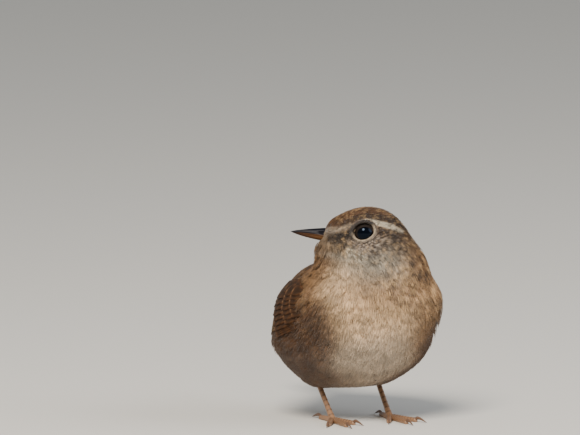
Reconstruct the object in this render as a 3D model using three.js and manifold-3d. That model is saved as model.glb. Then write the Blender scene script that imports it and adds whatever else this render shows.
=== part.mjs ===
// A Eurasian wren at life size, standing, its head turned over its right shoulder.
// Millimetres, +Z up. The breast faces -Y, the bird's left side is +X and the floor is z = 0.
// The origin is under the middle of the whole bird, at floor level.

import * as THREE from "three";
import { ParametricGeometry } from "three/addons/geometries/ParametricGeometry.js";
import { mergeVertices } from "three/addons/utils/BufferGeometryUtils.js";
import Module from "manifold-3d";

const wasm = await Module();
wasm.setup();

// Driving dimensions

const SEAM = 0.3; // clear gap between neighbouring pieces
const BLEND = 1.5; // how softly the plumage forms run into one another

const HEAD_CENTRE = new THREE.Vector3(-1.2, -8.0, 51.0);
const HEAD_TURN = THREE.MathUtils.degToRad(109); // turned to the bird's right

const EYEBALL_RADIUS = 2.75;
const EYE_APERTURE = 1.95; // radius of the part of the eye that shows
const EYE_FORWARD = 1.05;
const EYE_HEIGHT = 0.4;
const LID_RING = 2.3;
const LID_THICKNESS = 0.46;
const LID_LENGTHENED = 1.08; // the rim is longer than it is high
const LID_FLATTENED = 0.95;

const BILL_BASE = 7.4; // the bill starts this far ahead of the head's centre, under the feathers
const BILL_TIP = 20.1;
const BILL_OVERHANG = 0.45; // by which the upper half is longer than the lower one
const BILL_HALF_WIDTH = 2.4;
const UPPER_DEPTH = 2.75;
const LOWER_DEPTH = 1.15;
const TIP_HALF_WIDTH = 0.14;
const TIP_UPPER_DEPTH = 0.12;
const TIP_LOWER_DEPTH = 0.1;
const GAPE_HEIGHT = -1.65;
const GAPE_SLOPE = 0.142; // the bill points a little upwards
const NOSTRIL = { forward: 11.6, left: 1.62, up: 0.15, radii: [0.75, 0.5, 0.26] };
const MOUTH_CORNER = { forward: BILL_BASE + 0.4, left: 3.6, radii: [1.5, 1.6, 0.22] };

const TAIL_ROOT = new THREE.Vector3(0.2, 24.0, 28.6);
const TAIL_LENGTH = 31.0;
const TAIL_SWING = THREE.MathUtils.degToRad(5); // to the bird's left
const TAIL_DROOP = THREE.MathUtils.degToRad(4);
const TAIL_PAIRS = 6;
const TAIL_FEATHER_WIDTH = 4.0;
const TAIL_FEATHER_START = 1.5; // behind the root of the tail
const TAIL_STEP = 0.3; // each tail feather lies this much lower than the one inside it
const TAIL_ROUNDING = 0.2; // the outer feathers are shorter by this times the pair's number squared
const TAIL_COVERT_START = 3;
const TAIL_COVERT_WIDTH = 4.4;

const VANE_THICKNESS = 0.55;
const VANE_TILT = 0.2; // drop of a wing feather's sheet from its lower edge up, per mm
const WING_CLEARANCE = 0.45; // from the body's plumage to the underside of the folded wing

const TARSUS_RADIUS = 0.78;
const TARSUS_FLARE = 0.35; // how much wider it is at both ends, as a share
const ANKLE_PAD = 1.5; // length of the foot's part of the leg
const ANKLE_PAD_RADIUS = 1.3 * TARSUS_RADIUS;
const FOOT_SPREAD = 8.2; // from the middle plane to the middle of each foot
const ANKLE = new THREE.Vector3(8.6, 12.0, 13.0);
const SHANK_MIDDLE = new THREE.Vector3(ANKLE.x, ANKLE.y - 4.4, ANKLE.z + 1.3);
const FOOT_MIDDLE = new THREE.Vector3(FOOT_SPREAD, -1.0, 1.0);
const SHANK_RADII = [4.2, 6.8, 4.9]; // of the feathered shank
const SHANK_LIFT = THREE.MathUtils.degToRad(14);
const TOE_RADIUS = 0.82;
const TOE_TAPER = 0.25;
const TOE_PADS = 3;
const TOE_PAD_RISE = 0.09;
const SOLE_SINK = 0.14; // how much of a toe's roundness is flattened by the floor
const CLAW_RADIUS = 0.52;

// Materials, one slot each

function finish(colour, roughness) {
  return new THREE.MeshStandardMaterial({ color: colour, roughness, metalness: 0 });
}

const FINISHES = {
  crown: finish(0x6f5336, 0.9),
  body: finish(0x97764f, 0.92),
  breast: finish(0xb59a72, 0.92),
  wing: finish(0x563a22, 0.82),
  tail: finish(0x64452a, 0.82),
  bill_dark: finish(0x3a3230, 0.38),
  bill_pale: finish(0x8a6a42, 0.42),
  eye: finish(0x0b0806, 0.06),
  leg: finish(0x8c6b4e, 0.55),
};

// Solids

// The closed solid of a three.js geometry: points nearer than the given distance merged,
// collapsed faces left out and the faces turned outwards.
function solidOf(geometry, nearest = 1e-4) {
  const bare = geometry.clone();
  bare.deleteAttribute("normal");
  bare.deleteAttribute("uv");
  const merged = mergeVertices(bare, nearest);
  const index = merged.index.array;
  const points = merged.attributes.position;
  const faces = [];
  for (let i = 0; i < index.length; i += 3) {
    const [a, b, c] = [index[i], index[i + 1], index[i + 2]];
    if (a !== b && b !== c && c !== a) faces.push(a, b, c);
  }
  if (signedVolume(points, faces) < 0) faces.reverse();
  return new wasm.Manifold(
    new wasm.Mesh({
      numProp: 3,
      vertProperties: new Float32Array(points.array),
      triVerts: new Uint32Array(faces),
    }),
  );
}

function signedVolume(points, faces) {
  const [a, b, c] = [new THREE.Vector3(), new THREE.Vector3(), new THREE.Vector3()];
  let sum = 0;
  for (let i = 0; i < faces.length; i += 3) {
    a.fromBufferAttribute(points, faces[i]);
    b.fromBufferAttribute(points, faces[i + 1]);
    c.fromBufferAttribute(points, faces[i + 2]);
    sum += a.dot(b.cross(c)) / 6;
  }
  return sum;
}

function join(solids) {
  return solids.reduce((whole, piece) => whole.add(piece));
}

function largestOf(solid) {
  const pieces = solid.decompose();
  return pieces.reduce((best, piece) => (piece.volume() > best.volume() ? piece : best));
}

function geometryOf(solid) {
  const { vertProperties, triVerts } = solid.getMesh();
  const geometry = new THREE.BufferGeometry();
  geometry.setAttribute("position", new THREE.BufferAttribute(vertProperties, 3));
  geometry.setIndex(new THREE.BufferAttribute(triVerts, 1));
  return geometry;
}

const WELD = 1e-3; // points nearer than this become one

// A hollow that all but touches the outside parts from it only when the points there become one,
// so the largest closed surface is taken once more after that.
function meshOf(name, solid, material) {
  const geometry = geometryOf(largestOf(solidOf(geometryOf(largestOf(solid)), WELD)));
  geometry.computeVertexNormals();
  const mesh = new THREE.Mesh(geometry, material.clone());
  mesh.name = name;
  return mesh;
}

// A closed skin over a row of rings. place(s, angle, spread) gives a point of the ring at s,
// from 0 to 1 along the piece, and the ring's middle when spread is 0.
function loft(place, rings, around) {
  const rows = rings + 1;
  const surface = (u, v, target) => {
    const row = Math.round(v * rows);
    const ring = THREE.MathUtils.clamp(row - 1, 0, rings - 1);
    const spread = row === 0 || row === rows ? 0 : 1;
    target.copy(place(ring / (rings - 1), 2 * Math.PI * u, spread));
  };
  return new ParametricGeometry(surface, around, rows);
}

// Repeatable random numbers from 0 to 1.
function seededRandom(seed) {
  let state = seed;
  return () => {
    state = (state * 1664525 + 1013904223) % 4294967296;
    return state / 4294967296;
  };
}

const FLIGHT_STATIONS = [0, 0.22, 0.5, 0.76, 0.92, 1];
const COVERT_STATIONS = [0, 0.32, 0.66, 0.9, 1];

// A feather's half width at a share of its length, as a share of its greatest.
function vaneOutline(share) {
  const widening = 0.38 + 0.62 * Math.sin(Math.min(share / 0.5, 1) * (Math.PI / 2));
  const rounding = Math.sqrt(1 - Math.max(0, (share - 0.62) / 0.4) ** 2);
  return widening * rounding;
}

// A feather as a closed blade of four edges, its upper and lower faces split alike.
// place(share, across, rise) gives a point from the distance along it, the offset to its left
// in mm and the height over its own middle sheet.
function vane(place, width, stations) {
  const points = [];
  for (const share of stations) {
    const across = (width / 2) * vaneOutline(share);
    const rise = (VANE_THICKNESS / 2) * (1 - 0.35 * share ** 3);
    points.push(place(share, across, -rise), place(share, -across, -rise));
    points.push(place(share, -across, rise), place(share, across, rise));
  }
  const faces = [0, 3, 2, 0, 2, 1];
  for (let ring = 0; ring < stations.length - 1; ring += 1) {
    const [a, b, c, d] = [0, 1, 2, 3].map((corner) => 4 * ring + corner);
    const [e, f, g, h] = [a + 4, b + 4, c + 4, d + 4];
    faces.push(a, b, f, a, f, e, b, c, g, b, g, f);
    faces.push(c, d, g, d, h, g, d, a, e, d, e, h);
  }
  const last = 4 * (stations.length - 1);
  faces.push(last, last + 1, last + 2, last, last + 2, last + 3);
  const geometry = new THREE.BufferGeometry().setFromPoints(points);
  geometry.setIndex(faces);
  return solidOf(geometry);
}

// Everything on the side of a plane that its normal points to.
function halfSpace(point, normal) {
  const size = 400;
  const box = new THREE.BoxGeometry(size, size, size);
  box.translate(0, 0, size / 2);
  const turn = new THREE.Quaternion().setFromUnitVectors(new THREE.Vector3(0, 0, 1), normal);
  box.applyQuaternion(turn);
  box.translate(point.x, point.y, point.z);
  return solidOf(box);
}

// The two sides of a thin cut through a plane.
function cut(point, direction) {
  const normal = direction.clone().normalize();
  const shift = normal.clone().multiplyScalar(SEAM / 2);
  return {
    above: halfSpace(point.clone().add(shift), normal),
    below: halfSpace(point.clone().sub(shift), normal.clone().negate()),
  };
}

// The head's own frame: forward along the bill, left, and up

const HEAD_FRAME = new THREE.Matrix4().makeRotationZ(-HEAD_TURN).setPosition(HEAD_CENTRE);

function headPoint(forward, left, up) {
  return new THREE.Vector3(left, -forward, up).applyMatrix4(HEAD_FRAME);
}

function headDirection(forward, left, up) {
  return new THREE.Vector3(left, -forward, up).transformDirection(HEAD_FRAME);
}

// The plumage as a smooth union of rounded forms

// One form: its centre, its radii to the side, along the bird and upwards, the turn it shares
// with the head or not, and how far its front is lifted, in degrees.
function form(centre, radii, lift = 0, turn = 0) {
  const pitch = THREE.MathUtils.degToRad(lift);
  const frame = new THREE.Matrix4().makeRotationFromEuler(new THREE.Euler(-pitch, 0, -turn, "ZYX"));
  frame.setPosition(centre);
  return { toLocal: frame.invert(), radii: new THREE.Vector3(...radii) };
}

const TORSO_FORMS = [
  form(new THREE.Vector3(0, 4.5, 27.0), [19.0, 21.0, 16.8], 15), // belly and flanks
  form(new THREE.Vector3(0, 4.5, 20.8), [20.4, 18.2, 11.5], 6), // underside
  form(new THREE.Vector3(0.4, -6.5, 31.8), [18.2, 14.0, 15.4], 14), // breast
  form(new THREE.Vector3(0, 20.0, 28.0), [10.5, 11.5, 8.0], 6), // rump
  form(new THREE.Vector3(0, 21.0, 25.0), [8.5, 12.0, 6.0], -22), // undertail coverts
  form(new THREE.Vector3(0.1, 28.0, 28.0), [4.6, 9.5, 3.4], 2), // root of the tail
];

const HEAD_FORMS = [
  form(new THREE.Vector3(1.4, -7.5, 41.8), [13.4, 11.5, 9.0]), // neck
  form(headPoint(-0.4, 0, 0.1), [6.8, 8.1, 6.3], 0, HEAD_TURN), // crown and cheeks
  form(headPoint(5.8, 0, -0.5), [4.3, 6.2, 4.2], 3, HEAD_TURN), // face
  form(headPoint(-3.4, 0, -4.2), [8.0, 7.8, 7.4], 0, HEAD_TURN), // nape
  form(headPoint(5.8, 0, -5.4), [5.0, 7.0, 5.4], -35, HEAD_TURN), // throat
  form(headPoint(8.8, 0, -3.7), [2.8, 4.0, 2.2], -8, HEAD_TURN), // chin
];

const PLUMAGE = [...TORSO_FORMS, ...HEAD_FORMS];

const local = new THREE.Vector3();
const slope = new THREE.Vector3();

// About the distance from a point to the plumage, negative inside.
function plumageLevel(point, forms = PLUMAGE) {
  let sum = 0;
  for (const { toLocal, radii } of forms) {
    local.copy(point).applyMatrix4(toLocal).divide(radii);
    slope.copy(local).divide(radii);
    const reach = local.length();
    const distance = (reach * (reach - 1)) / Math.max(slope.length(), 1e-9);
    sum += Math.exp(-distance / BLEND);
  }
  return -BLEND * Math.log(Math.max(sum, 1e-300));
}

const RAY_LENGTH = 60;
const RAY_HALVINGS = 24;

// How far along a ray the plumage ends, or the level that many mm outside it.
function reachOf(origin, direction, level = 0, forms = PLUMAGE) {
  let [near, far] = [0, RAY_LENGTH];
  const probe = new THREE.Vector3();
  for (let step = 0; step < RAY_HALVINGS; step += 1) {
    const middle = (near + far) / 2;
    probe.copy(direction).multiplyScalar(middle).add(origin);
    if (plumageLevel(probe, forms) < level) near = middle;
    else far = middle;
  }
  return near;
}

// A line inside the bird, from the rump to the crown, that every ray to the plumage starts from.
const SPINE = new THREE.QuadraticBezierCurve3(
  new THREE.Vector3(0, 25, 27.5),
  new THREE.Vector3(0, -5, 31),
  new THREE.Vector3(0, -8, 53),
);

const CAP = 0.17; // share of the rows that fans out over each end of the line

function plumageGeometry(level, rows, columns) {
  const side = new THREE.Vector3(1, 0, 0);
  const surface = (u, v, target) => {
    const start = THREE.MathUtils.clamp((CAP - v) / CAP, 0, 1);
    const end = THREE.MathUtils.clamp((v - 1 + CAP) / CAP, 0, 1);
    const along = THREE.MathUtils.clamp((v - CAP) / (1 - 2 * CAP), 0, 1);
    const tilt = ((end - start) * Math.PI) / 2;
    const tangent = SPINE.getTangent(along);
    const across = side.clone().cross(tangent).normalize();
    const angle = 2 * Math.PI * u;
    const ray = across.multiplyScalar(Math.cos(angle) * Math.cos(tilt));
    ray.addScaledVector(side, Math.sin(angle) * Math.cos(tilt));
    ray.addScaledVector(tangent, Math.sin(tilt)).normalize();
    const origin = SPINE.getPoint(along);
    target.copy(ray).multiplyScalar(reachOf(origin, ray, level)).add(origin);
  };
  return new ParametricGeometry(surface, columns, rows);
}

const BODY_ROWS = 33;
const BODY_COLUMNS = 30;
const plumage = solidOf(plumageGeometry(0, BODY_ROWS, BODY_COLUMNS));
const plumageWithSeam = solidOf(plumageGeometry(SEAM, BODY_ROWS, BODY_COLUMNS));

// Bill

function commissure(forward) {
  return GAPE_HEIGHT + GAPE_SLOPE * (forward - BILL_BASE);
}

function billHalfWidth(share) {
  return BILL_HALF_WIDTH * (1 - share) ** 1.35 + TIP_HALF_WIDTH;
}

function upperDepth(share) {
  return UPPER_DEPTH * (1 - share) ** 0.95 + TIP_UPPER_DEPTH;
}

function lowerDepth(share) {
  return LOWER_DEPTH * (1 - share ** 2.2) + TIP_LOWER_DEPTH;
}

// Half a bill, above or below the line of the mouth, its rings closer together near the tip.
function billHalf(upper) {
  const tip = upper ? BILL_TIP : BILL_TIP - BILL_OVERHANG;
  const parting = upper ? SEAM / 2 : -SEAM / 2;
  const place = (s, angle, spread) => {
    const forward = THREE.MathUtils.lerp(BILL_BASE, tip, 1 - (1 - s) ** 1.15);
    const share = (forward - BILL_BASE) / (tip - BILL_BASE);
    const depth = upper ? upperDepth(share) : -lowerDepth(share);
    const rise = Math.max(0, Math.sin(angle)) * depth;
    const sideways = billHalfWidth(share) * Math.cos(angle) * spread;
    return headPoint(forward, sideways, commissure(forward) + parting + rise * spread);
  };
  return loft(place, 11, 12);
}

// The whole bill with a margin round it, for the recess it sits in.
function billRecess() {
  const place = (s, angle, spread) => {
    const forward = THREE.MathUtils.lerp(BILL_BASE - SEAM, BILL_TIP, s);
    const share = THREE.MathUtils.clamp((forward - BILL_BASE) / (BILL_TIP - BILL_BASE), 0, 1);
    const depth = Math.sin(angle) > 0 ? upperDepth(share) : lowerDepth(share);
    const height = Math.sin(angle) * (depth + SEAM * 1.5);
    const sideways = (billHalfWidth(share) + SEAM) * Math.cos(angle) * spread;
    return headPoint(forward, sideways, commissure(forward) + height * spread);
  };
  return loft(place, 12, 16);
}

function headEllipsoid(forward, left, up, radii) {
  const geometry = new THREE.SphereGeometry(1, 12, 8);
  const [along, across, height] = radii;
  geometry.scale(across, along, height);
  geometry.translate(left, -forward, up);
  geometry.applyMatrix4(HEAD_FRAME);
  return solidOf(geometry);
}

function upperBill() {
  const { forward, left, up, radii } = NOSTRIL;
  const nostrils = [1, -1].map((side) => headEllipsoid(forward, side * left, up, radii));
  return solidOf(billHalf(true)).subtract(join(nostrils));
}

function lowerBill() {
  return solidOf(billHalf(false));
}

// Eyes

// From the middle of the eyeball out to the plane of the lids.
const APERTURE_PLANE = Math.sqrt(EYEBALL_RADIUS ** 2 - EYE_APERTURE ** 2);

function eyeCentre(side) {
  const middle = headPoint(EYE_FORWARD, 0, EYE_HEIGHT);
  const surface = reachOf(middle, headDirection(0, side, 0));
  return headPoint(EYE_FORWARD, side * (surface - APERTURE_PLANE), EYE_HEIGHT);
}

function eyeball(side, margin) {
  const geometry = new THREE.SphereGeometry(EYEBALL_RADIUS + margin, 16, 10);
  const centre = eyeCentre(side);
  geometry.translate(centre.x, centre.y, centre.z);
  return solidOf(geometry);
}

// The two lids, as one rounded rim.
function lids(side) {
  const geometry = new THREE.TorusGeometry(LID_RING, LID_THICKNESS, 6, 18);
  geometry.scale(LID_LENGTHENED, LID_FLATTENED, 1);
  const outwards = headDirection(0, side, 0);
  const frame = new THREE.Matrix4().makeBasis(
    headDirection(side, 0, 0),
    new THREE.Vector3(0, 0, 1),
    outwards.clone(),
  );
  frame.setPosition(eyeCentre(side).addScaledVector(outwards, APERTURE_PLANE));
  geometry.applyMatrix4(frame);
  return solidOf(geometry);
}

// Head, neck and torso, parted by thin cuts

const HEAD_CUT = cut(headPoint(0, 0, -7.4), headDirection(0.12, 0, 1));
const NECK_CUT = cut(new THREE.Vector3(0, -7, 38), new THREE.Vector3(0, -0.1, 1));

// The slit of the gape behind the bill.
function mouthCorner(side) {
  const { forward, left, radii } = MOUTH_CORNER;
  return headEllipsoid(forward, side * left, commissure(forward), radii);
}

function head() {
  const shape = plumage.intersect(HEAD_CUT.above).add(join([1, -1].map(lids)));
  const openings = [1, -1].map((side) => eyeball(side, SEAM).add(mouthCorner(side)));
  return shape.subtract(join([...openings, solidOf(billRecess())]));
}

function neck() {
  return plumage.intersect(HEAD_CUT.below).intersect(NECK_CUT.above);
}

// Legs

// The feathered shank, sunk in a recess of the belly.
function shank(side, margin) {
  const geometry = new THREE.SphereGeometry(1, 14, 10);
  geometry.scale(...SHANK_RADII.map((radius) => radius + margin));
  geometry.rotateX(-SHANK_LIFT);
  geometry.translate(side * SHANK_MIDDLE.x, SHANK_MIDDLE.y, SHANK_MIDDLE.z);
  return solidOf(geometry);
}

function torso() {
  const recesses = join([1, -1].map((side) => shank(side, SEAM)));
  return plumage.intersect(NECK_CUT.below).subtract(recesses);
}

function mirrored(point, side) {
  return new THREE.Vector3(point.x * side, point.y, point.z);
}

function tarsusLine(side) {
  return new THREE.LineCurve3(mirrored(FOOT_MIDDLE, side), mirrored(ANKLE, side));
}

function tarsusTube(side, start, end, radiusAt) {
  const line = tarsusLine(side);
  const length = line.getLength();
  const along = line.getTangent(0);
  const across = new THREE.Vector3(1, 0, 0);
  const front = along.clone().cross(across);
  const place = (s, angle, spread) => {
    const distance = THREE.MathUtils.lerp(start, end, s);
    const point = line.getPoint(distance / length);
    const radius = radiusAt(distance / length) * spread;
    point.addScaledVector(across, radius * Math.cos(angle));
    return point.addScaledVector(front, radius * Math.sin(angle));
  };
  return solidOf(loft(place, 6, 8));
}

function tarsus(side) {
  const radiusAt = (share) => TARSUS_RADIUS * (1 + TARSUS_FLARE * (2 * share - 1) ** 4);
  const length = tarsusLine(side).getLength();
  return tarsusTube(side, ANKLE_PAD + SEAM / 2, length, radiusAt).subtract(shank(side, SEAM));
}

// A toe: its direction from straight ahead, in degrees outwards, its length and its claw's length.
const TOES = [
  { heading: -24, length: 8.2, claw: 3.3 },
  { heading: 2, length: 11.2, claw: 3.8 },
  { heading: 29, length: 9.2, claw: 3.4 },
  { heading: 176, length: 7.2, claw: 4.8 },
];

function toe(side, { heading, length, claw }) {
  const angle = THREE.MathUtils.degToRad(heading);
  const ahead = new THREE.Vector3(side * Math.sin(angle), -Math.cos(angle), 0);
  const across = new THREE.Vector3(-ahead.y, ahead.x, 0);
  const whole = length + claw;
  const place = (s, turn, spread) => {
    const distance = whole * s;
    const onClaw = THREE.MathUtils.clamp((distance - length) / claw, 0, 1);
    const taper = 1 - TOE_TAPER * Math.min(distance / length, 1);
    const pads = 1 + TOE_PAD_RISE * Math.cos((2 * Math.PI * TOE_PADS * distance) / length);
    const toeRadius = TOE_RADIUS * taper * pads;
    const radius = onClaw > 0 ? CLAW_RADIUS * (1 - 0.85 * onClaw) : toeRadius;
    const arch = 0.62 + 0.765 * Math.sin(Math.PI * Math.sqrt(onClaw)) - 0.45 * onClaw;
    const height = onClaw > 0 ? Math.max(arch, 0.16) : toeRadius - SOLE_SINK;
    const point = new THREE.Vector3(side * FOOT_SPREAD, FOOT_MIDDLE.y, 0);
    point.addScaledVector(ahead, distance);
    point.addScaledVector(across, radius * Math.cos(turn) * spread);
    point.z = height + radius * Math.sin(turn) * spread;
    return point;
  };
  return solidOf(loft(place, 12, 6));
}

function foot(side) {
  const stub = tarsusTube(side, -0.6, ANKLE_PAD - SEAM / 2, () => ANKLE_PAD_RADIUS);
  const toes = TOES.map((size) => toe(side, size));
  const floor = halfSpace(new THREE.Vector3(0, 0, 0), new THREE.Vector3(0, 0, 1));
  return join([stub, ...toes]).intersect(floor);
}

// Folded wings

// The folded wing lies on the plumage and on one more form that carries its tips past the rump.
const WING_BED = [...PLUMAGE, form(new THREE.Vector3(0, 8.0, 29.4), [13.8, 24.5, 11.6])];

// A point on the wing's sheet, from its place in the side view and its height over the body.
function onWing(side, y, z, height) {
  const origin = new THREE.Vector3(0, y, z);
  const reach = reachOf(origin, new THREE.Vector3(side, 0, 0), WING_CLEARANCE + height, WING_BED);
  return new THREE.Vector3(side * reach, y, z);
}

// The arm and hand under the coverts, a low pad that every feather is rooted in.
const PAD_MIDDLE = new THREE.Vector2(4.0, 31.2);
const PAD_LENGTH = 24;
const PAD_HEIGHT = 12.5;
const PAD_THICKNESS = 1.1;
const PAD_DROOP = 0.2; // how fast its middle line falls towards the tail

function wingPad(side) {
  const place = (s, angle, spread) => {
    const latitude = Math.PI * THREE.MathUtils.lerp(0.05, 0.95, s);
    const ring = Math.sin(latitude) * spread;
    const y = PAD_MIDDLE.x + (PAD_LENGTH / 2) * Math.cos(angle) * ring;
    const drop = PAD_DROOP * (y - PAD_MIDDLE.x);
    const z = PAD_MIDDLE.y + (PAD_HEIGHT / 2) * Math.sin(angle) * ring - drop;
    return onWing(side, y, z, (PAD_THICKNESS / 2) * (1 - Math.cos(latitude)));
  };
  return solidOf(loft(place, 6, 12));
}

function line(y0, z0, y1, z1) {
  return new THREE.LineCurve(new THREE.Vector2(y0, z0), new THREE.Vector2(y1, z1));
}

function arc(y0, z0, yMiddle, zMiddle, y1, z1) {
  const points = [[y0, z0], [yMiddle, zMiddle], [y1, z1]];
  return new THREE.QuadraticBezierCurve(...points.map(([y, z]) => new THREE.Vector2(y, z)));
}

// The wing's tiers in the side view, back along y and up along z, from the deepest to the
// outermost: the lines that roots and tips lie on, the width, and the heights of root and tip.
const WING_TIERS = {
  primaries: {
    count: 6,
    roots: line(0, 26.6, 5, 30.2),
    tips: arc(21, 21.4, 31, 22.2, 30.4, 27.0),
    width: 3.7,
    lift: [0.55, 0.6],
    stations: FLIGHT_STATIONS,
  },
  secondaries: {
    count: 5,
    roots: line(2, 30, 4.5, 33.6),
    tips: arc(24.6, 26.8, 25.6, 29.1, 22.4, 31.2),
    width: 3.9,
    lift: [0.6, 0.85],
    stations: FLIGHT_STATIONS,
  },
  tertials: {
    count: 3,
    roots: line(4, 32.6, 5, 34.6),
    tips: line(22.6, 29.8, 16.8, 33.4),
    width: 4.6,
    lift: [0.65, 0.95],
    stations: FLIGHT_STATIONS,
  },
  primaryCoverts: {
    count: 3,
    roots: line(-6, 27, -4.5, 29),
    tips: line(4.6, 23, 8.2, 25.2),
    width: 3.0,
    lift: [0.65, 1.0],
    stations: COVERT_STATIONS,
  },
  greaterCoverts: {
    count: 5,
    roots: line(-3.5, 27.8, 1.5, 34.8),
    tips: arc(6.2, 25.2, 11.6, 27.6, 11.0, 33.4),
    width: 3.7,
    lift: [0.8, 1.3],
    stations: COVERT_STATIONS,
  },
  medianCoverts: {
    count: 4,
    roots: line(-6, 29.2, -2.5, 35.6),
    tips: arc(0.8, 27.4, 5.6, 30.4, 4.8, 34.8),
    width: 3.3,
    lift: [0.95, 1.5],
    stations: COVERT_STATIONS,
  },
  lesserCoverts: {
    count: 4,
    roots: line(-7.2, 30.6, -4.6, 35.6),
    tips: arc(-2.6, 29.6, 0.8, 32, 0.2, 35.4),
    width: 3.0,
    lift: [0.95, 1.65],
    stations: COVERT_STATIONS,
  },
  scapulars: {
    count: 3,
    roots: line(-3, 36.4, 4, 35.4),
    tips: line(7.5, 35.6, 16.5, 32.6),
    width: 4.4,
    lift: [0.65, 1.05],
    stations: COVERT_STATIONS,
  },
};

const FEATHER_BOW = 0.05; // height of a feather's bow, as a share of its length

// One feather of a tier: a gentle bow between its root and its tip, its lower edge over the
// feather below it.
function wingFeather(side, tier, index, random) {
  const share = index / (tier.count - 1);
  const root = tier.roots.getPoint(share);
  const tip = tier.tips.getPoint(share).lerp(root, 0.05 * random());
  const length = tip.distanceTo(root);
  const ahead = tip.clone().sub(root).normalize();
  const upwards = new THREE.Vector2(-ahead.y, ahead.x);
  const bow = FEATHER_BOW * length;
  const width = tier.width * THREE.MathUtils.lerp(0.96, 1.04, random());
  const place = (s, across, rise) => {
    const point = root.clone().lerp(tip, s);
    point.addScaledVector(upwards, across + 4 * bow * s * (1 - s));
    const lift = THREE.MathUtils.lerp(...tier.lift, Math.sin((s * Math.PI) / 2));
    return onWing(side, point.x, point.y, lift + rise - VANE_TILT * across);
  };
  return vane(place, width, tier.stations);
}

function wing(side) {
  const random = seededRandom(side > 0 ? 11 : 23);
  const feathers = Object.values(WING_TIERS).flatMap((tier) =>
    Array.from({ length: tier.count }, (_, index) => wingFeather(side, tier, index, random)),
  );
  return join([wingPad(side), ...feathers]);
}

// Tail

const TAIL_FRAME = new THREE.Matrix4()
  .makeRotationFromEuler(new THREE.Euler(-TAIL_DROOP, 0, -TAIL_SWING, "ZYX"))
  .setPosition(TAIL_ROOT);

// A feather in the tail's own frame: x across, y along and z up.
function tailFeather({ start, length, rootOffset, tipOffset, width, height, roof, stations }) {
  const place = (s, across, rise) => {
    const x = THREE.MathUtils.lerp(rootOffset, tipOffset, s) + across;
    const z = THREE.MathUtils.lerp(...height, s) - roof * Math.abs(x) + rise;
    return new THREE.Vector3(x, start + length * s, z).applyMatrix4(TAIL_FRAME);
  };
  return vane(place, width, stations);
}

// Six pairs, the middle pair on top and each outer feather a little shorter.
function tailFeathers() {
  const feathers = [];
  for (let pair = 0; pair < TAIL_PAIRS; pair += 1) {
    for (const side of [1, -1]) {
      const height = 0.5 - TAIL_STEP * pair + (side > 0 ? TAIL_STEP / 2 : 0);
      feathers.push(
        tailFeather({
          start: TAIL_FEATHER_START,
          length: TAIL_LENGTH - TAIL_FEATHER_START - TAIL_ROUNDING * pair ** 2,
          rootOffset: side * (0.2 + 0.25 * pair),
          tipOffset: side * (0.45 + 0.72 * pair),
          width: TAIL_FEATHER_WIDTH,
          height: [height, height],
          roof: 0.05,
          stations: FLIGHT_STATIONS,
        }),
      );
    }
  }
  return feathers;
}

function tailCoverts() {
  const coverts = [];
  for (const [across, length] of [[-2.1, 12.6], [0.2, 15.2], [2.2, 13.2]]) {
    const size = {
      start: TAIL_COVERT_START,
      length,
      rootOffset: 0.6 * across,
      tipOffset: across,
      width: TAIL_COVERT_WIDTH,
      stations: COVERT_STATIONS,
    };
    coverts.push(tailFeather({ ...size, height: [1.6, 1.05 + 0.06 * across], roof: 0.12 }));
    coverts.push(tailFeather({ ...size, height: [-2.6, -1.7 - 0.06 * across], roof: -0.12 }));
  }
  return coverts;
}

function tail() {
  const core = new THREE.SphereGeometry(1, 14, 8);
  core.scale(3.3, 8.5, 1.7);
  core.translate(0, 6.5, -0.5);
  core.applyMatrix4(TAIL_FRAME);
  return join([solidOf(core), ...tailFeathers(), ...tailCoverts()]).subtract(plumageWithSeam);
}

// The whole bird

const group = new THREE.Group();

group.add(meshOf("head", head(), FINISHES.crown));
group.add(meshOf("neck", neck(), FINISHES.body));
group.add(meshOf("torso", torso(), FINISHES.breast));
group.add(meshOf("tail", tail(), FINISHES.tail));
group.add(meshOf("bill_upper", upperBill(), FINISHES.bill_dark));
group.add(meshOf("bill_lower", lowerBill(), FINISHES.bill_pale));
for (const [letter, side] of [["L", 1], ["R", -1]]) {
  group.add(meshOf(`eye_${letter}`, eyeball(side, 0), FINISHES.eye));
  group.add(meshOf(`wing_${letter}`, wing(side), FINISHES.wing));
  group.add(meshOf(`thigh_${letter}`, shank(side, 0), FINISHES.body));
  group.add(meshOf(`tarsus_${letter}`, tarsus(side), FINISHES.leg));
  group.add(meshOf(`foot_${letter}`, foot(side), FINISHES.leg));
}

const extent = new THREE.Box3().setFromObject(group);
const middle = extent.getCenter(new THREE.Vector3());
group.position.set(-middle.x, -middle.y, -extent.min.z);

export default group;
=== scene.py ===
"""A Eurasian wren at life size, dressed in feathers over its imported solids.

Shapes are worked out in millimetres in the bird's own frame: the breast faces -Y, the bird's
left side is +X, up is +Z and the floor is at height 0. They are moved and turned to metres only
when they become a mesh.
"""

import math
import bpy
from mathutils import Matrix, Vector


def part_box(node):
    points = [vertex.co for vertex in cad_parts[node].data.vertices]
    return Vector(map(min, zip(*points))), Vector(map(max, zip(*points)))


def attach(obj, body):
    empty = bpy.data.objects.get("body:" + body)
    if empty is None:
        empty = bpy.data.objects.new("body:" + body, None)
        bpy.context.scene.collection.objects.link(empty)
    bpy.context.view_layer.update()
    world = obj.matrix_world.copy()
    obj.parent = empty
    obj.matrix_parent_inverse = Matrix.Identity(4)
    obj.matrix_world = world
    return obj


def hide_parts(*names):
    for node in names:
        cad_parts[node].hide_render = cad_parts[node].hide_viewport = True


bl_info = {
    "name": "Museum wren",
    "version": (1, 0, 0),
    "blender": (4, 5, 0),
    "location": "View3D > Sidebar > Wren",
    "description": "Skin, feathers, bill, eyes and legs of a standing wren, with floor and lights",
    "category": "Add Mesh",
}

import bpy
import numpy as np
from mathutils import Vector

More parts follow.
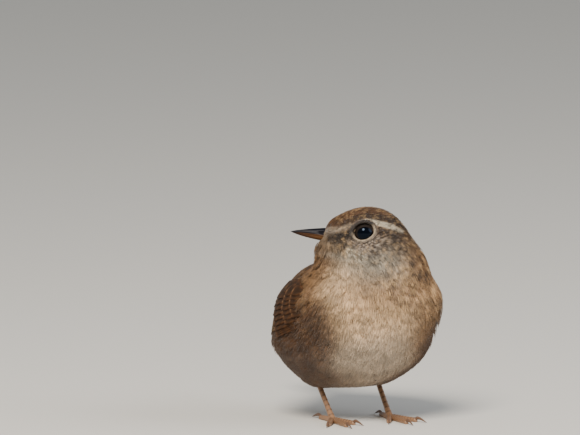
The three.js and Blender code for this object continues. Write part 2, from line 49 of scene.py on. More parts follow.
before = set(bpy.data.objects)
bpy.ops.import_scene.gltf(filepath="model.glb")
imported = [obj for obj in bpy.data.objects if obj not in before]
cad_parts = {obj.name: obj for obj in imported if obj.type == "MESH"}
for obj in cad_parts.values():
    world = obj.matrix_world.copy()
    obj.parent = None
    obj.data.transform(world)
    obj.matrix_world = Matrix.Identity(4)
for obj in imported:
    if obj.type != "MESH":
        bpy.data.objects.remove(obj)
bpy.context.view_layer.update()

MM = 0.001
GOLDEN = (math.sqrt(5) - 1) / 2


def middle_of(node):
    """The middle of a CAD node's box, in millimetres."""
    low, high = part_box(node)
    return (np.array(low) + np.array(high)) / 2 / MM


THIGH_MIDDLE = np.array((8.6, 7.6, 14.3))  # of the left one, in the bird's own frame
SHIFT = (middle_of("thigh_L") + middle_of("thigh_R")) / 2 - THIGH_MIDDLE * (0, 1, 1)


def linear(colour):
    """An sRGB hex colour as linear red, green and blue."""
    share = np.array([int(colour[i : i + 2], 16) for i in (1, 3, 5)]) / 255
    return np.where(share <= 0.04045, share / 12.92, ((share + 0.055) / 1.055) ** 2.4)


def unit(vectors):
    """Vectors scaled to length 1."""
    return vectors / np.maximum(np.linalg.norm(vectors, axis=-1, keepdims=True), 1e-12)


def smooth(low, high, value):
    """0 below low, 1 above high and a smooth rise between them."""
    share = np.clip((value - low) / (high - low), 0, 1)
    return share * share * (3 - 2 * share)


def blend(first, second, share):
    """Colours or points mixed by a share from 0 to 1 for each."""
    share = np.asarray(share)[..., None]
    return first * (1 - share) + second * share


# The head's frame: forward along the bill, to the bird's left, and up

HEAD_CENTRE = np.array((-1.2, -8.0, 51.0))
HEAD_TURN = math.radians(109)
HEAD_AXES = np.array(
    (
        (-math.sin(HEAD_TURN), -math.cos(HEAD_TURN), 0),
        (math.cos(HEAD_TURN), -math.sin(HEAD_TURN), 0),
        (0, 0, 1),
    )
)


def from_head(forward, left, up):
    """Points given forward, left and up of the head's middle."""
    return HEAD_CENTRE + np.stack(np.broadcast_arrays(forward, left, up), -1) @ HEAD_AXES


def to_head(points):
    """How far forward, left and up of the head's middle each point is."""
    return np.moveaxis((points - HEAD_CENTRE) @ HEAD_AXES.T, -1, 0)


# The plumage as a smooth union of rounded forms

BLEND = 1.5


def rounded_form(centre, radii, lift=0, turn=0):
    """A form's centre, its radii to the side, along and up, and its axes from lift and turn."""
    a, p = -turn, -math.radians(lift)
    about_z = np.array(((math.cos(a), -math.sin(a), 0), (math.sin(a), math.cos(a), 0), (0, 0, 1)))
    about_x = np.array(((1, 0, 0), (0, math.cos(p), -math.sin(p)), (0, math.sin(p), math.cos(p))))
    return np.array(centre), np.array(radii), about_z @ about_x


PLUMAGE = [
    rounded_form((0, 4.5, 27.0), (19.0, 21.0, 16.8), 15),  # belly and flanks
    rounded_form((0, 4.5, 20.8), (20.4, 18.2, 11.5), 6),  # underside
    rounded_form((0.4, -6.5, 31.8), (18.2, 14.0, 15.4), 14),  # breast
    rounded_form((0, 20.0, 28.0), (10.5, 11.5, 8.0), 6),  # rump
    rounded_form((0, 21.0, 25.0), (8.5, 12.0, 6.0), -22),  # undertail coverts
    rounded_form((0.1, 28.0, 28.0), (4.6, 9.5, 3.4), 2),  # root of the tail
    rounded_form((1.4, -7.5, 41.8), (13.4, 11.5, 9.0)),  # neck
    rounded_form(from_head(-0.4, 0, 0.1), (6.8, 8.1, 6.3), 0, HEAD_TURN),  # crown and cheeks
    rounded_form(from_head(5.3, 0, -0.5), (4.3, 5.7, 4.1), 3, HEAD_TURN),  # face
    rounded_form(from_head(-3.4, 0, -4.2), (8.0, 7.8, 7.4), 0, HEAD_TURN),  # nape
    rounded_form(from_head(5.8, 0, -5.4), (5.0, 7.0, 5.4), -35, HEAD_TURN),  # throat
    rounded_form(from_head(8.8, 0, -3.7), (2.8, 4.0, 2.2), -8, HEAD_TURN),  # chin
]
THIGHS = [
    rounded_form(THIGH_MIDDLE * (side, 1, 1), (4.2, 6.8, 4.9), 14) for side in (1, -1)
]
BODY = PLUMAGE + THIGHS
WING_BED = PLUMAGE + [rounded_form((0, 8.0, 29.4), (13.8, 24.5, 11.6))]


def plumage(points, forms=BODY):
    """About the distance of each point from the plumage's outline, and the way out of it.

    A form's distance is n(n-1)/g, where n is how many of its own radii the point lies out and g
    the length of that offset divided by the radii once more. The forms are joined by the
    logarithm of the sum of exp(-distance / BLEND), and the way out is their mean by those shares.
    """
    total = np.zeros(points.shape[:-1])
    outward = np.zeros(points.shape)
    for centre, radii, axes in forms:
        local = ((points - centre) @ axes) / radii
        slope = local / radii
        reach = np.sqrt((local * local).sum(-1))
        steep = np.maximum(np.sqrt((slope * slope).sum(-1)), 1e-9)
        weight = np.exp(-np.clip(reach * (reach - 1) / steep, -60, 400) / BLEND)
        total += weight
        outward += (weight / steep)[..., None] * (slope @ axes.T)
    return -BLEND * np.log(np.maximum(total, 1e-300)), unit(outward)


def near_face(points):
    """1 at the bill and the eyes, falling to 0 behind and below the head."""
    forward, left, up = to_head(points)
    away = np.sqrt(((forward - 5) / 1.1) ** 2 + left**2 + (up + 0.5) ** 2)
    return 1 - smooth(4.5, 12, away)


def coat_depth(points):
    """The depth of the feathers over the skin, least round the bill and the eyes."""
    sizes = bpy.context.scene.wren.coat
    face = near_face(points)
    return sizes.body_depth / MM * (1 - face) + sizes.face_depth / MM * face


# Every ray to the skin starts on a curved line inside the bird, from the rump to the crown

SPINE = np.array(((0, 25, 27.5), (0, -5, 31), (0, -8, 53)), float)
CAP = 0.17  # share of the rows that fans out over each end of the line


def spine_ray(u, v):
    """Start and direction of the ray at u round the bird and v from rump to crown."""
    u, v = np.broadcast_arrays(u, v)
    start, end = np.clip((CAP - v) / CAP, 0, 1), np.clip((v - 1 + CAP) / CAP, 0, 1)
    along = np.clip((v - CAP) / (1 - 2 * CAP), 0, 1)[..., None]
    tilt = (end - start) * math.pi / 2
    first, middle, last = SPINE
    origin = (1 - along) ** 2 * first + 2 * along * (1 - along) * middle + along**2 * last
    tangent = unit((1 - along) * (middle - first) + along * (last - middle))
    side = np.array((1.0, 0, 0))
    across = unit(np.cross(side, tangent))
    angle = 2 * math.pi * u
    ray = across * (np.cos(angle) * np.cos(tilt))[..., None]
    ray = ray + side * (np.sin(angle) * np.cos(tilt))[..., None]
    return origin, ray + tangent * np.sin(tilt)[..., None]


def last_inside(origin, ray, reach, is_inside):
    """The furthest point inside along each ray, by halving the way to reach twenty times."""
    near, far = np.zeros(ray.shape[:-1]), np.full(ray.shape[:-1], reach)
    for _ in range(20):
        middle = (near + far) / 2
        inside = is_inside(origin + ray * middle[..., None])
        near, far = np.where(inside, middle, near), np.where(inside, far, middle)
    return origin + ray * near[..., None]


def skin_at(u, v):
    """The skin's point at u and v, where the ray meets the level of minus the coat's depth."""
    origin, ray = spine_ray(u, v)
    return last_inside(
        origin, ray, 45.0, lambda points: plumage(points)[0] + coat_depth(points) < 0
    )


# Meshes from arrays


def add_piece(name, points, faces, uv, field, replaces, material):
    """A mesh object from points in the bird's frame and arrays of triangles or quads.

    The field is the name and the values of one attribute: colours as tint, or else vectors. The
    unwrap is given for each point or for each corner of the faces.
    """
    mesh = bpy.data.meshes.new(name)
    faces = [faces] if isinstance(faces, np.ndarray) else list(faces)
    counts = np.concatenate([np.full(len(part), part.shape[1]) for part in faces])
    corners = np.concatenate([part.ravel() for part in faces]).astype(np.int32)
    mesh.vertices.add(len(points))
    mesh.vertices.foreach_set("co", ((points + SHIFT) * MM).astype(np.float32).ravel())
    mesh.loops.add(len(corners))
    mesh.loops.foreach_set("vertex_index", corners)
    mesh.polygons.add(len(counts))
    mesh.polygons.foreach_set("loop_start", (np.cumsum(counts) - counts).astype(np.int32))
    mesh.polygons.foreach_set("use_smooth", np.full(len(counts), True))
    label, values = field
    if label == "tint":
        values = np.concatenate((values, np.ones((len(values), 1))), 1)
        colours = mesh.attributes.new(label, "FLOAT_COLOR", "POINT")
        colours.data.foreach_set("color", values.astype(np.float32).ravel())
    else:
        vectors = mesh.attributes.new(label, "FLOAT_VECTOR", "POINT")
        vectors.data.foreach_set("vector", values.astype(np.float32).ravel())
    layer = mesh.uv_layers.new(name="OFBake")
    uv = uv[corners] if len(uv) == len(points) else uv
    layer.data.foreach_set("uv", uv.astype(np.float32).ravel())
    mesh.update(calc_edges=True)
    if mesh.validate():
        raise RuntimeError(f"{name} had faults in its mesh")
    piece = bpy.data.objects.new(name, mesh)
    bpy.context.scene.collection.objects.link(piece)
    mesh.materials.append(material)
    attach(piece, "root")
    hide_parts(*replaces)
    return piece


def turns(around):
    """The angles of the spots round a ring."""
    return np.arange(around)[None, :] / around * 2 * math.pi


def tube_faces(count, rings, around):
    """Quads and end triangles of closed tubes of rings, each with a middle point at both ends."""
    size = rings * around + 2
    ring, spot = np.meshgrid(np.arange(rings - 1), np.arange(around), indexing="ij")
    following = (spot + 1) % around
    low, high = ring * around, (ring + 1) * around
    quads = np.stack((low + spot, low + following, high + following, high + spot), -1)
    quads = quads.reshape(-1, 4)
    spots = np.arange(around)
    after = (spots + 1) % around
    first, last = rings * around, rings * around + 1
    end = (rings - 1) * around
    caps = np.concatenate(
        (
            np.stack((np.full(around, first), after, spots), -1),
            np.stack((np.full(around, last), end + spots, end + after), -1),
        )
    )
    shift = (np.arange(count) * size)[:, None, None]
    return (quads + shift).reshape(-1, 4), (caps + shift).reshape(-1, 3)


def tube_points(rings):
    """Points of closed tubes, from an array of tube, ring, spot round the ring, and x, y, z."""
    ends = rings[:, [0, -1]].mean(2)
    return np.concatenate((rings.reshape(len(rings), -1, 3), ends), 1).reshape(-1, 3)


def tube_values(values):
    """One value for each point of tube_points, from values of tube, ring and spot."""
    ends = values[:, [0, -1]].mean(2)
    flat = values.reshape(len(values), -1, values.shape[-1])
    return np.concatenate((flat, ends), 1).reshape(-1, values.shape[-1])


def outward_faces(points, faces):
    """The same quads and triangles, turned over if they enclose a negative volume."""
    volume = 0
    for part in faces:
        a = points[part[:, 0]]
        for i in range(1, part.shape[1] - 1):
            b, c = points[part[:, i]], points[part[:, i + 1]]
            volume += (a * np.cross(b, c)).sum()
    return [part[:, ::-1] for part in faces] if volume < 0 else list(faces)


def wrapped_uv(places, faces, scale=0.96):
    """Each corner's place on the unwrap, where a face that crosses the seam reaches past 1."""
    loops = []
    for part in faces:
        each = places[part]
        crossing = (np.ptp(each, 1) > 0.5)[:, None] & (each < 0.5)
        loops.append(((each + crossing) * scale).reshape(-1, 2))
    return np.concatenate(loops)


# Materials


def node(tree, kind, settings=(), links=()):
    """Adds a node, sets its properties and inputs, and links its other inputs.

    A link's source is another node's output, or a plain value where there is none.
    """
    made = tree.nodes.new(kind)
    for name, value in dict(settings).items():
        if isinstance(name, int) or name in made.inputs:
            made.inputs[name].default_value = value
        else:
            setattr(made, name, value)
    for name, source in dict(links).items():
        if isinstance(source, bpy.types.NodeSocket):
            tree.links.new(source, made.inputs[name])
        else:
            made.inputs[name].default_value = source
    return made


def new_material(name, settings):
    """A named material whose Principled shader has the given values, its node tree and shader."""
    material = bpy.data.materials.new(name)
    material.use_nodes = True
    tree = material.node_tree
    tree.nodes.clear()
    shader = node(tree, "ShaderNodeBsdfPrincipled", settings)
    node(tree, "ShaderNodeOutputMaterial", links={"Surface": shader.outputs["BSDF"]})
    return material, tree, shader


def rgba(colour):
    """A linear colour with an alpha of 1."""
    return (*[float(part) for part in colour], 1.0)


def add_grain(tree, shader, size, roughness, shade, depth):
    """Noise of a size in mm over the tint attribute.

    It drives the roughness and the shade, each between two values, and a relief of a depth in mm.
    """
    place = node(tree, "ShaderNodeTexCoord").outputs["Object"]
    noise = node(
        tree,
        "ShaderNodeTexNoise",
        {"Scale": 1 / (size * MM), "Detail": 4.0, "Roughness": 0.6},
        {"Vector": place},
    ).outputs["Fac"]
    rough, value = (
        node(tree, "ShaderNodeMapRange", {"To Min": low, "To Max": high}, {"Value": noise})
        for low, high in (roughness, shade)
    )
    relief = node(
        tree, "ShaderNodeBump", {"Strength": 0.5, "Distance": depth * MM}, {"Height": noise}
    )
    tint = node(tree, "ShaderNodeAttribute", {"attribute_name": "tint"})
    toned = node(
        tree,
        "ShaderNodeHueSaturation",
        {},
        {"Color": tint.outputs["Color"], "Value": value.outputs["Result"]},
    )
    tree.links.new(rough.outputs["Result"], shader.inputs["Roughness"])
    tree.links.new(relief.outputs["Normal"], shader.inputs["Normal"])
    tree.links.new(toned.outputs["Color"], shader.inputs["Base Color"])


def feather_down():
    """Contour feathers: keratin barbs that lie loose.

    Their fine fibres scatter light, so the coat looks soft and matt with a faint sheen, and each
    tuft carries its own tone.
    """
    material, tree, shader = new_material(
        "contour_feather_barbs",
        {"IOR": 1.54, "Specular IOR Level": 0.25, "Sheen Weight": 0.15, "Sheen Roughness": 0.5},
    )
    add_grain(tree, shader, 0.45, (0.62, 0.85), (0.86, 1.14), 0.03)
    return material


# Markings of the plumage


def side_line(forward, up, line):
    """The distance of each place in the head's side view from a line of straight lengths."""
    best = np.full(np.shape(forward), 1e9)
    for (f0, u0), (f1, u1) in zip(line, line[1:]):
        df, du = f1 - f0, u1 - u0
        share = np.clip(((forward - f0) * df + (up - u0) * du) / (df * df + du * du), 0, 1)
        best = np.minimum(best, np.hypot(forward - f0 - share * df, up - u0 - share * du))
    return best


BROW_LINE = ((4.7, 2.6), (2.6, 3.4), (0.8, 3.7), (-1.3, 3.3), (-3.7, 2.7), (-6.1, 2.0), (-9.0, 0.5))
CROWN_EDGE = ((6.5, 2.6), (3.4, 4.2), (0.5, 4.8), (-4.5, 4.1), (-7.2, 2.9), (-9.5, 1.4))
LORE_EDGE = ((10.0, 1.2), (7.3, 1.4), (4.7, 2.4))
EYE_STRIPE = ((-1.4, 0.9), (-4.4, 0.6), (-8.6, -1.4))
LORE_LINE = ((9.6, -1.2), (7.6, -0.6), (5.2, 0.1), (3.6, 0.6))
GAPE_LINE = ((8.7, -2.5), (4.4, -3.3))
MALAR_LINE = ((5.0, -4.2), (1.6, -7.2))
EYE_PLACE = (1.05, 0.4)


def body_patches(colours):
    """Named places of the body, mirrored to both sides: middle, spread, colour and weight."""
    return (
        ((0, -17, 42), (8, 8, 5), colours.throat, 0.9),
        ((0, -20, 36), (9, 7, 5), colours.breast, 1.0),
        ((0, -20, 29), (10, 7, 6), colours.pale_breast, 1.0),
        ((11, -16, 33), (6, 6, 7), colours.pale_breast, 1.0),
        ((0, -17, 20), (9, 9, 6), colours.belly, 1.1),
        ((16, -4, 37), (5, 5.5, 7), colours.shoulder, 1.1),
        # flank brown brought forward under the front of the wing: partly the flank's own colour,
        # partly painted shade under the wing
        ((17, -9, 25.5), (4.5, 6, 6), colours.flank, 1.8),
        ((18, 2, 25), (5, 9, 8), colours.flank, 1.1),
        ((8, 6, 10), (9, 10, 5), colours.flank, 0.8),
        ((0, 0, 9), (6, 12, 5), colours.belly, 0.7),
        ((0, 22, 19), (9, 9, 6), colours.vent, 1.2),
        ((0, 10, 42), (12, 12, 7), colours.back, 1.3),
        ((12, 8, 38), (6, 12, 7), colours.back, 1.0),
        ((0, 26, 34), (9, 9, 7), colours.rump, 1.3),
        ((6, -2, 44), (6, 6, 6), colours.nape, 1.0),
    )


def turned_patches(colours):
    """Patches of one side alone, partly painted shade: on the left the neck's brown, pulled forward
    by the turned head and deepened as shade of the side away from the light; on the right the
    flank's dark brown as painted shade under the front of the wing.
    """
    return (
        # bird's left only: the neck's brown, partly pulled forward by the turned head and partly
        # painted shade of the side away from the light
        ((11.5, -15.5, 37), (5.5, 6, 6.5), colours.neck, 2.6),
        ((8, -15, 42.5), (6, 6, 4), colours.neck, 0.8),
        ((12, -16, 27), (5, 6, 7), colours.neck, 1.6),
        # painted shade: the flank's dark brown on the right side alone, under the front of the
        # folded wing
        ((-18.5, -11.5, 28.5), (3.6, 5, 4.5), colours.flank, 3.0),
    )


def markings(points):
    """The plumage's colour at points on the bird, before the pattern of single feathers.

    Body: the mean of the named patches by exp(-d^2), where d is the distance in spreads. Head:
    base tones by height, then lines of the side view laid over them with soft edges.
    """
    colours = bpy.context.scene.wren.colours
    mirrored = points.copy()
    mirrored[..., 0] = np.abs(points[..., 0])
    total, body = np.full(points.shape[:-1], 1e-9), np.zeros(points.shape)
    for places, patches in ((mirrored, body_patches(colours)), (points, turned_patches(colours))):
        for middle, spread, colour, weight in patches:
            away = ((places - middle) / spread) ** 2
            share = weight * np.exp(-away.sum(-1)) + 1e-9
            total += share
            body += share[..., None] * np.array(colour)
    body /= total[..., None]

    forward, left, up = to_head(points)
    side = smooth(1.2, 3.0, np.abs(left))
    crown, cheek = np.array(colours.crown), np.array(colours.cheek)
    head = blend(crown, cheek, smooth(2.6, 0.4, up))
    head = blend(head, np.array(colours.ear), smooth(-1.5, -4.5, forward) * smooth(2, 0, up) * 0.8)
    head = blend(head, np.array(colours.nape), smooth(-4.5, -8, forward))
    head = blend(head, np.array(colours.forehead), smooth(5, 8, forward) * smooth(0.5, 1.5, up))
    throat = smooth(-3.6, -5.6, up) * smooth(0, 3.5, forward)
    head = blend(head, np.array(colours.throat), throat)
    chin = smooth(2.5, 7.0, forward) * smooth(1.5, -0.5, up) * smooth(-6.5, -4.0, up)
    head = blend(head, np.array(colours.chin), 0.9 * chin)
    dark = np.array(colours.dark_streak)
    brow_tone = np.array(colours.brow)
    lines = (
        (CROWN_EDGE, 1.1, 0.3, dark, 0.7),
        (LORE_EDGE, 0.9, 0.2, brow_tone, 0.22),
        (EYE_STRIPE, 1.6, 0.4, np.array(colours.eye_stripe), 0.8),
        (LORE_LINE, 1.8, 0.6, np.array(colours.lore), 0.95),
        (GAPE_LINE, 1.0, 0.3, np.array(colours.lore), 0.6),
        (MALAR_LINE, 1.6, 0.4, brow_tone, 0.9),
    )
    for line, outer, inner, tone, strength in lines:
        share = side * smooth(outer, inner, side_line(forward, up, line))
        head = blend(head, tone, strength * share)
    wide = 0.2 + 0.32 * smooth(1.5, -1.5, forward) - 0.16 * smooth(-6, -9, forward)
    brow = side * smooth(wide + 0.35, wide - 0.1, side_line(forward, up, BROW_LINE))
    fading = 0.12 + 0.85 * smooth(3.4, 1.4, forward) - 0.35 * smooth(-5, -9, forward)
    head = blend(head, brow_tone, brow * fading)
    ahead, above = forward - EYE_PLACE[0], up - EYE_PLACE[1]
    near_eye = smooth(2.9, 2.45, np.hypot(ahead, above))
    below = smooth(0.6, -1.0, 0.5 * ahead + above)
    head = blend(head, np.array(colours.lore), side * near_eye * (1 - below) * 0.85)
    head = blend(head, np.array(colours.eye_ring), side * near_eye * below * 0.15)

    away = np.sqrt((forward / 1.25) ** 2 + left**2 + np.minimum(up + 2, 0) ** 2 * 0.8)
    return blend(head, body, smooth(8.0, 12.5, away + 3.5 * smooth(-5, -9, up)))


# The coat: contour feathers as fans of barbs

BARB_STATIONS = np.array((0.0, 0.4, 0.74, 1.0))
BARB_WIDTHS = np.array((0.8, 1.0, 0.72))
PATCH = 0.0015  # half the side of a tuft's place on the skin's unwrap


def feather_roots(rows, columns, spacing_at, seed):
    """Even roots over the whole skin: u, v and the point of each.

    Along v they follow the summed area over spacing squared, and round the bird each is turned
    by the golden angle from the one before, counted in the same sum within its row.
    """
    v_edges, u_edges = np.linspace(0, 1, rows + 1), np.linspace(0, 1, columns + 1)
    corner = skin_at(u_edges[None, :], v_edges[:, None])
    along, around = np.diff(corner, axis=0)[:, :-1], np.diff(corner, axis=1)[:-1]
    area = np.linalg.norm(np.cross(along, around), axis=-1)
    middle = (corner[:-1, :-1] + corner[1:, 1:]) / 2
    share = area / spacing_at(middle) ** 2
    rng = np.random.default_rng(seed)
    total = share.sum()
    count = int(total)
    by_row = np.concatenate(((0,), np.cumsum(share.sum(1)) / total))
    place = (np.arange(count) + rng.uniform(0.1, 0.9, count)) / count
    v_root = np.interp(place, by_row, v_edges)
    row = np.clip((v_root * rows).astype(int), 0, rows - 1)
    by_column = np.concatenate((np.zeros((rows, 1)), np.cumsum(share, 1)), 1)
    by_column /= by_column[:, -1:]
    turn = (np.arange(count) * GOLDEN + rng.normal(0, 0.25 / math.sqrt(count), count)) % 1
    u_root = np.empty(count)
    for number in range(rows):
        here = row == number
        u_root[here] = np.interp(turn[here], by_column[number], u_edges)
    return u_root, v_root, skin_at(u_root, v_root)


EYE_MIDDLES = {side: middle_of(f"eye_{side}") - SHIFT for side in "LR"}
EYEBALL_RADIUS = 2.75
RIM_RADIUS = 2.02  # of the lids' rim
BARE_RADIUS = 2.3  # the coat's feathers stand outside this
LID_LONG, LID_HIGH = 1.08, 0.95  # the ellipse of the lids, in any of these radii


def eye_offset(points):
    """Forward and up of the nearer eye, and the distance from it in bare radii."""
    forward, _, up = to_head(points)
    eye_forward, _, eye_up = to_head(EYE_MIDDLES["L"])
    ahead, above = forward - eye_forward, up - eye_up
    return ahead, above, np.hypot(ahead / LID_LONG, above / LID_HIGH) / BARE_RADIUS


def lie_of(points, outward, u, v):
    """The way the feathers lie: back from the bill on the head, and towards the tail behind it."""
    step = 0.004
    tailward = skin_at(u, np.clip(v - step, 0, 1)) - skin_at(u, np.clip(v + step, 0, 1))
    over_rump = smooth(0.22, 0.06, v)
    body = blend(unit(tailward), np.array((0, 1.0, -0.25)), over_rump)
    from_bill = unit(points - from_head(9.5, 0, -0.6))
    _, left, up = to_head(points)
    from_bill = from_bill + HEAD_AXES[2] * (-0.35 * smooth(1, -3, up))[..., None]
    away = np.linalg.norm(points - from_head(2, 0, -1), axis=-1)
    lie = blend(unit(from_bill), unit(body), smooth(8, 16, away))
    lie = unit(lie - outward * (lie * outward).sum(-1, keepdims=True))
    ahead, above, rings = eye_offset(points)
    round_eye = (ahead[..., None] * HEAD_AXES[0] + above[..., None] * HEAD_AXES[2])
    near_eye = smooth(1.75, 1.05, rings) * smooth(2, 4, np.abs(left))
    lie = blend(lie, unit(round_eye) + 0.5 * lie, 0.75 * near_eye)
    return unit(lie - outward * (lie * outward).sum(-1, keepdims=True))


def barb_fan(rng, barbs, roots, outward, lie, length, width, depth, rise, barb_width, loose):
    """Fans of barbs: points of feather, barb, station and ring spot, and each point's place.

    Across a feather the barbs spread by s from -1 to 1 along the lines y = s * (a + (1 - a) *
    x^0.75), x being the share of its length. A barb starts up to half way along, where the
    feather is loose, and ends at 1 - 0.4|s|^2.2. The height over the skin grows along it as the
    sine of x.
    """
    count = len(roots)
    s = (np.arange(barbs) + 0.5) / barbs * 2 - 1
    s = s + rng.uniform(-0.8, 0.8, (count, barbs)) / barbs
    tip_along = (1 - 0.4 * np.abs(s) ** 2.2) * rng.uniform(0.8, 1.08, s.shape)
    first = rng.uniform(0.02, 0.12, s.shape) + 0.45 * loose[:, None] * rng.uniform(0, 1, s.shape)
    first = np.minimum(first, tip_along - 0.35)
    station = BARB_STATIONS[None, None, :]
    along = first[..., None] + (tip_along - first)[..., None] * station
    narrow = (0.14 + 0.3 * loose)[:, None, None]
    across = s[..., None] * (narrow + (1 - narrow) * np.clip(along, 0.01, 1) ** 0.75)
    bend = rng.normal(0, 0.07, s.shape)[..., None] * station**2
    x = length[:, None, None] * along
    y = width[:, None, None] / 2 * (across + bend)
    side = np.cross(outward, lie)
    centre = (
        roots[:, None, None]
        + lie[:, None, None] * x[..., None]
        + side[:, None, None] * y[..., None]
    )
    share = np.clip(along, 0, 1)
    level = (depth + rise)[:, None, None] * np.sin(share * math.pi / 2) ** 0.85
    lifted = rng.uniform(-0.1, 0.1, s.shape) * np.minimum(depth, 1)[:, None]
    level = level - depth[:, None, None] + lifted[..., None] * station
    for _ in range(2):
        distance, out = plumage(centre)
        centre = centre + out * (level - distance)[..., None]
    heading = unit(np.diff(centre, axis=2, append=centre[:, :, -1:] * 2 - centre[:, :, -2:-1]))
    sideways = unit(np.cross(out, heading))
    half = (barb_width / 2)[:, None, None] * rng.uniform(0.75, 1.25, s.shape)[..., None]
    half = (half * BARB_WIDTHS)[..., None]
    body, up = centre[:, :, :3], out[:, :, :3]
    ring = np.stack(
        (
            body - sideways[:, :, :3] * half,
            body + sideways[:, :, :3] * half,
            body + up * half * 0.55,
        ),
        3,
    )
    points = np.concatenate((ring.reshape(count, barbs, 9, 3), centre[:, :, 3:]), 2)
    place = np.stack((along, across), -1)
    place = np.concatenate((np.repeat(place[:, :, :3], 3, 2), place[:, :, 3:]), 2)
    return points, place


def barb_faces(count):
    """Triangles of barbs of ten points: a root cap, two bands of three sides and a tip."""
    band = []
    for ring in (0, 3):
        for a, b in ((0, 1), (1, 2), (2, 0)):
            band += [(ring + a, ring + b, ring + 3 + b), (ring + a, ring + 3 + b, ring + 3 + a)]
    one = np.array([(0, 2, 1)] + band + [(6, 7, 9), (7, 8, 9), (8, 6, 9)])
    return (one + (np.arange(count) * 10)[:, None, None]).reshape(-1, 3)


def feather_tones(rng, points, place, roots):
    """Colours of the barbs: the markings at each point, with the pattern of single feathers.

    Nape and back: dark crescents near the tips. Flanks and vent: fine dark bars across. Crown
    and cheeks: dark middles. Breast: soft mottling by whole feathers. Each barb is also painted
    a little darker towards its root, as shade under the feathers that lie over it.
    """
    colours = bpy.context.scene.wren.colours
    tone = markings(points)
    along, across = place[..., 0], place[..., 1]
    forward, left, up = (part[..., None, None] for part in to_head(roots))
    x, y, z = (roots[..., i, None, None] for i in range(3))
    count = len(roots)
    whole = rng.normal(0, 1, (count, 1, 1))
    each = rng.normal(0, 1, along.shape[:2])[..., None]
    dark = np.array(colours.dark_streak)
    reach = np.sqrt(forward**2 + left**2 + (up + 1) ** 2)
    on_head = smooth(11.5, 8.5, reach)
    crown = on_head * smooth(0.5, 2.5, up)
    streak = crown * smooth(0.55, 0.1, np.abs(across)) * 0.4 * smooth(-0.6, 0.6, whole)
    cheek = on_head * (1 - smooth(0.5, 2.5, up)) * smooth(3, 5, np.abs(left))
    fleck = cheek * smooth(0.45, 0.85, along) * smooth(0.2, 0.9, whole) * 0.8
    behind = smooth(-3, -7, forward) * smooth(17, 13, reach)
    back = smooth(34, 39, z) * smooth(-6, 2, y)
    crescent = np.clip(behind * 0.8 + back * 0.35, 0, 0.8) * smooth(0.62, 0.8, along)
    crescent = crescent * smooth(-0.6, 0.4, whole)
    flank = np.clip(smooth(9, 14, np.abs(x)) * smooth(36, 28, z) + smooth(10, 17, y), 0, 1)
    wave = np.sin(2 * math.pi * (along * 2.6 + 0.15 * np.abs(across) + 0.2 * whole))
    bars = (1 - on_head) * flank * smooth(0.2, 0.8, wave) * 0.42
    freckle = patchy(roots, 0.95, 9)[..., None, None]
    on_crown = crown * 0.5 + 0.95 * cheek + 0.35 * (on_head - np.maximum(crown, cheek)).clip(0)
    by_neck = smooth(30, 39, z) * smooth(-14, 2, x) * (1 - on_head)
    speckled = np.clip(on_crown + 0.75 * by_neck + 0.12, 0, 0.85)
    dark_fleck = speckled * smooth(0.25, 1.0, freckle)
    for share in (streak, fleck, crescent, bars, dark_fleck * 0.82):
        tone = blend(tone, dark, np.broadcast_to(share, along.shape))
    # painted highlight: pale tips on some feathers of head, nape and upper back, where light falls
    # from above; pale_tip adds the bird's own pale flecks
    upper = smooth(30, 38, z) * smooth(12, 20, reach + 6 * smooth(3, -3, forward))
    lit = np.clip(on_head + behind + 0.7 * upper, 0, 1)
    glint = lit * smooth(0.5, 0.85, along) * smooth(-0.3, -1.1, whole) * 0.5
    pale_tip = speckled * smooth(-0.35, -1.0, freckle) * smooth(0.3, 0.7, along) * 0.6
    glint = np.maximum(glint, pale_tip)
    tone = blend(tone, np.array(colours.pale_fleck_and_glint), np.broadcast_to(glint, along.shape))
    breast = (1 - on_head) * (1 - flank)
    mottle = patchy(roots, 2.6, 3)[..., None, None]
    light = 1 + 0.05 * whole * (1 - 0.4 * breast) + 0.09 * each + 0.14 * mottle
    # painted shade: each barb is a little darker towards its root, as shade under the feathers that
    # lie over it
    shade = 0.9 + 0.1 * smooth(0.1, 0.6, along)
    return np.clip(tone * (light * shade)[..., None], 0.002, 1)


def patchy(points, size, seed):
    """Soft seeded patches of about the given size: a sum of sines in turned directions."""
    rng = np.random.default_rng(seed)
    total = np.zeros(points.shape[:-1])
    for _ in range(9):
        way = unit(rng.normal(0, 1, 3)) * rng.uniform(0.7, 1.6) * math.pi / size
        total += np.sin(points @ way + rng.uniform(0, 2 * math.pi))
    return total / 3


def under_wing(points):
    """Where the folded wing hides the body: the share of cover, and the edge in front of it."""
    x, y, z = np.moveaxis(points, -1, 0)
    drop = 0.2 * (y - 4)
    inside = np.hypot((y - 6) / 12.5, (z - 31.8 + drop) / 6.2)
    beside = smooth(7, 10, np.abs(x))
    return smooth(0.9, 0.75, inside) * beside, smooth(2.0, 1.25, inside) * beside


def in_bill(points):
    """True where the bill and the corners of the mouth stand through the face."""
    forward, left, up = to_head(points)
    share = np.clip((forward - BILL_BASE) / (BILL_TIP - BILL_BASE), 0, 1)
    line = commissure(forward)
    half = bill_half_width(share) + 0.1
    above, below = upper_depth(share) + 0.05, lower_depth(share) + 0.15
    tall = np.where(up > line, above, below)
    inside = (np.abs(left) / half) ** 2 + ((up - line) / tall) ** 2 < 1
    corner = (forward > 6.8) & (np.abs(left) < 4.5) & (np.abs(up - line) < 0.28)
    return (inside & (forward > BILL_BASE)) | corner


# The bill, from the line of the mouth up and down

BILL_BASE = 7.4
BILL_TIP = 20.1
GAPE_HEIGHT = -1.65
GAPE_SLOPE = 0.142
NOSTRIL_FORWARD, NOSTRIL_RISE = 11.6, 0.95


def commissure(forward):
    """Height of the line of the mouth."""
    return GAPE_HEIGHT + GAPE_SLOPE * (forward - BILL_BASE)


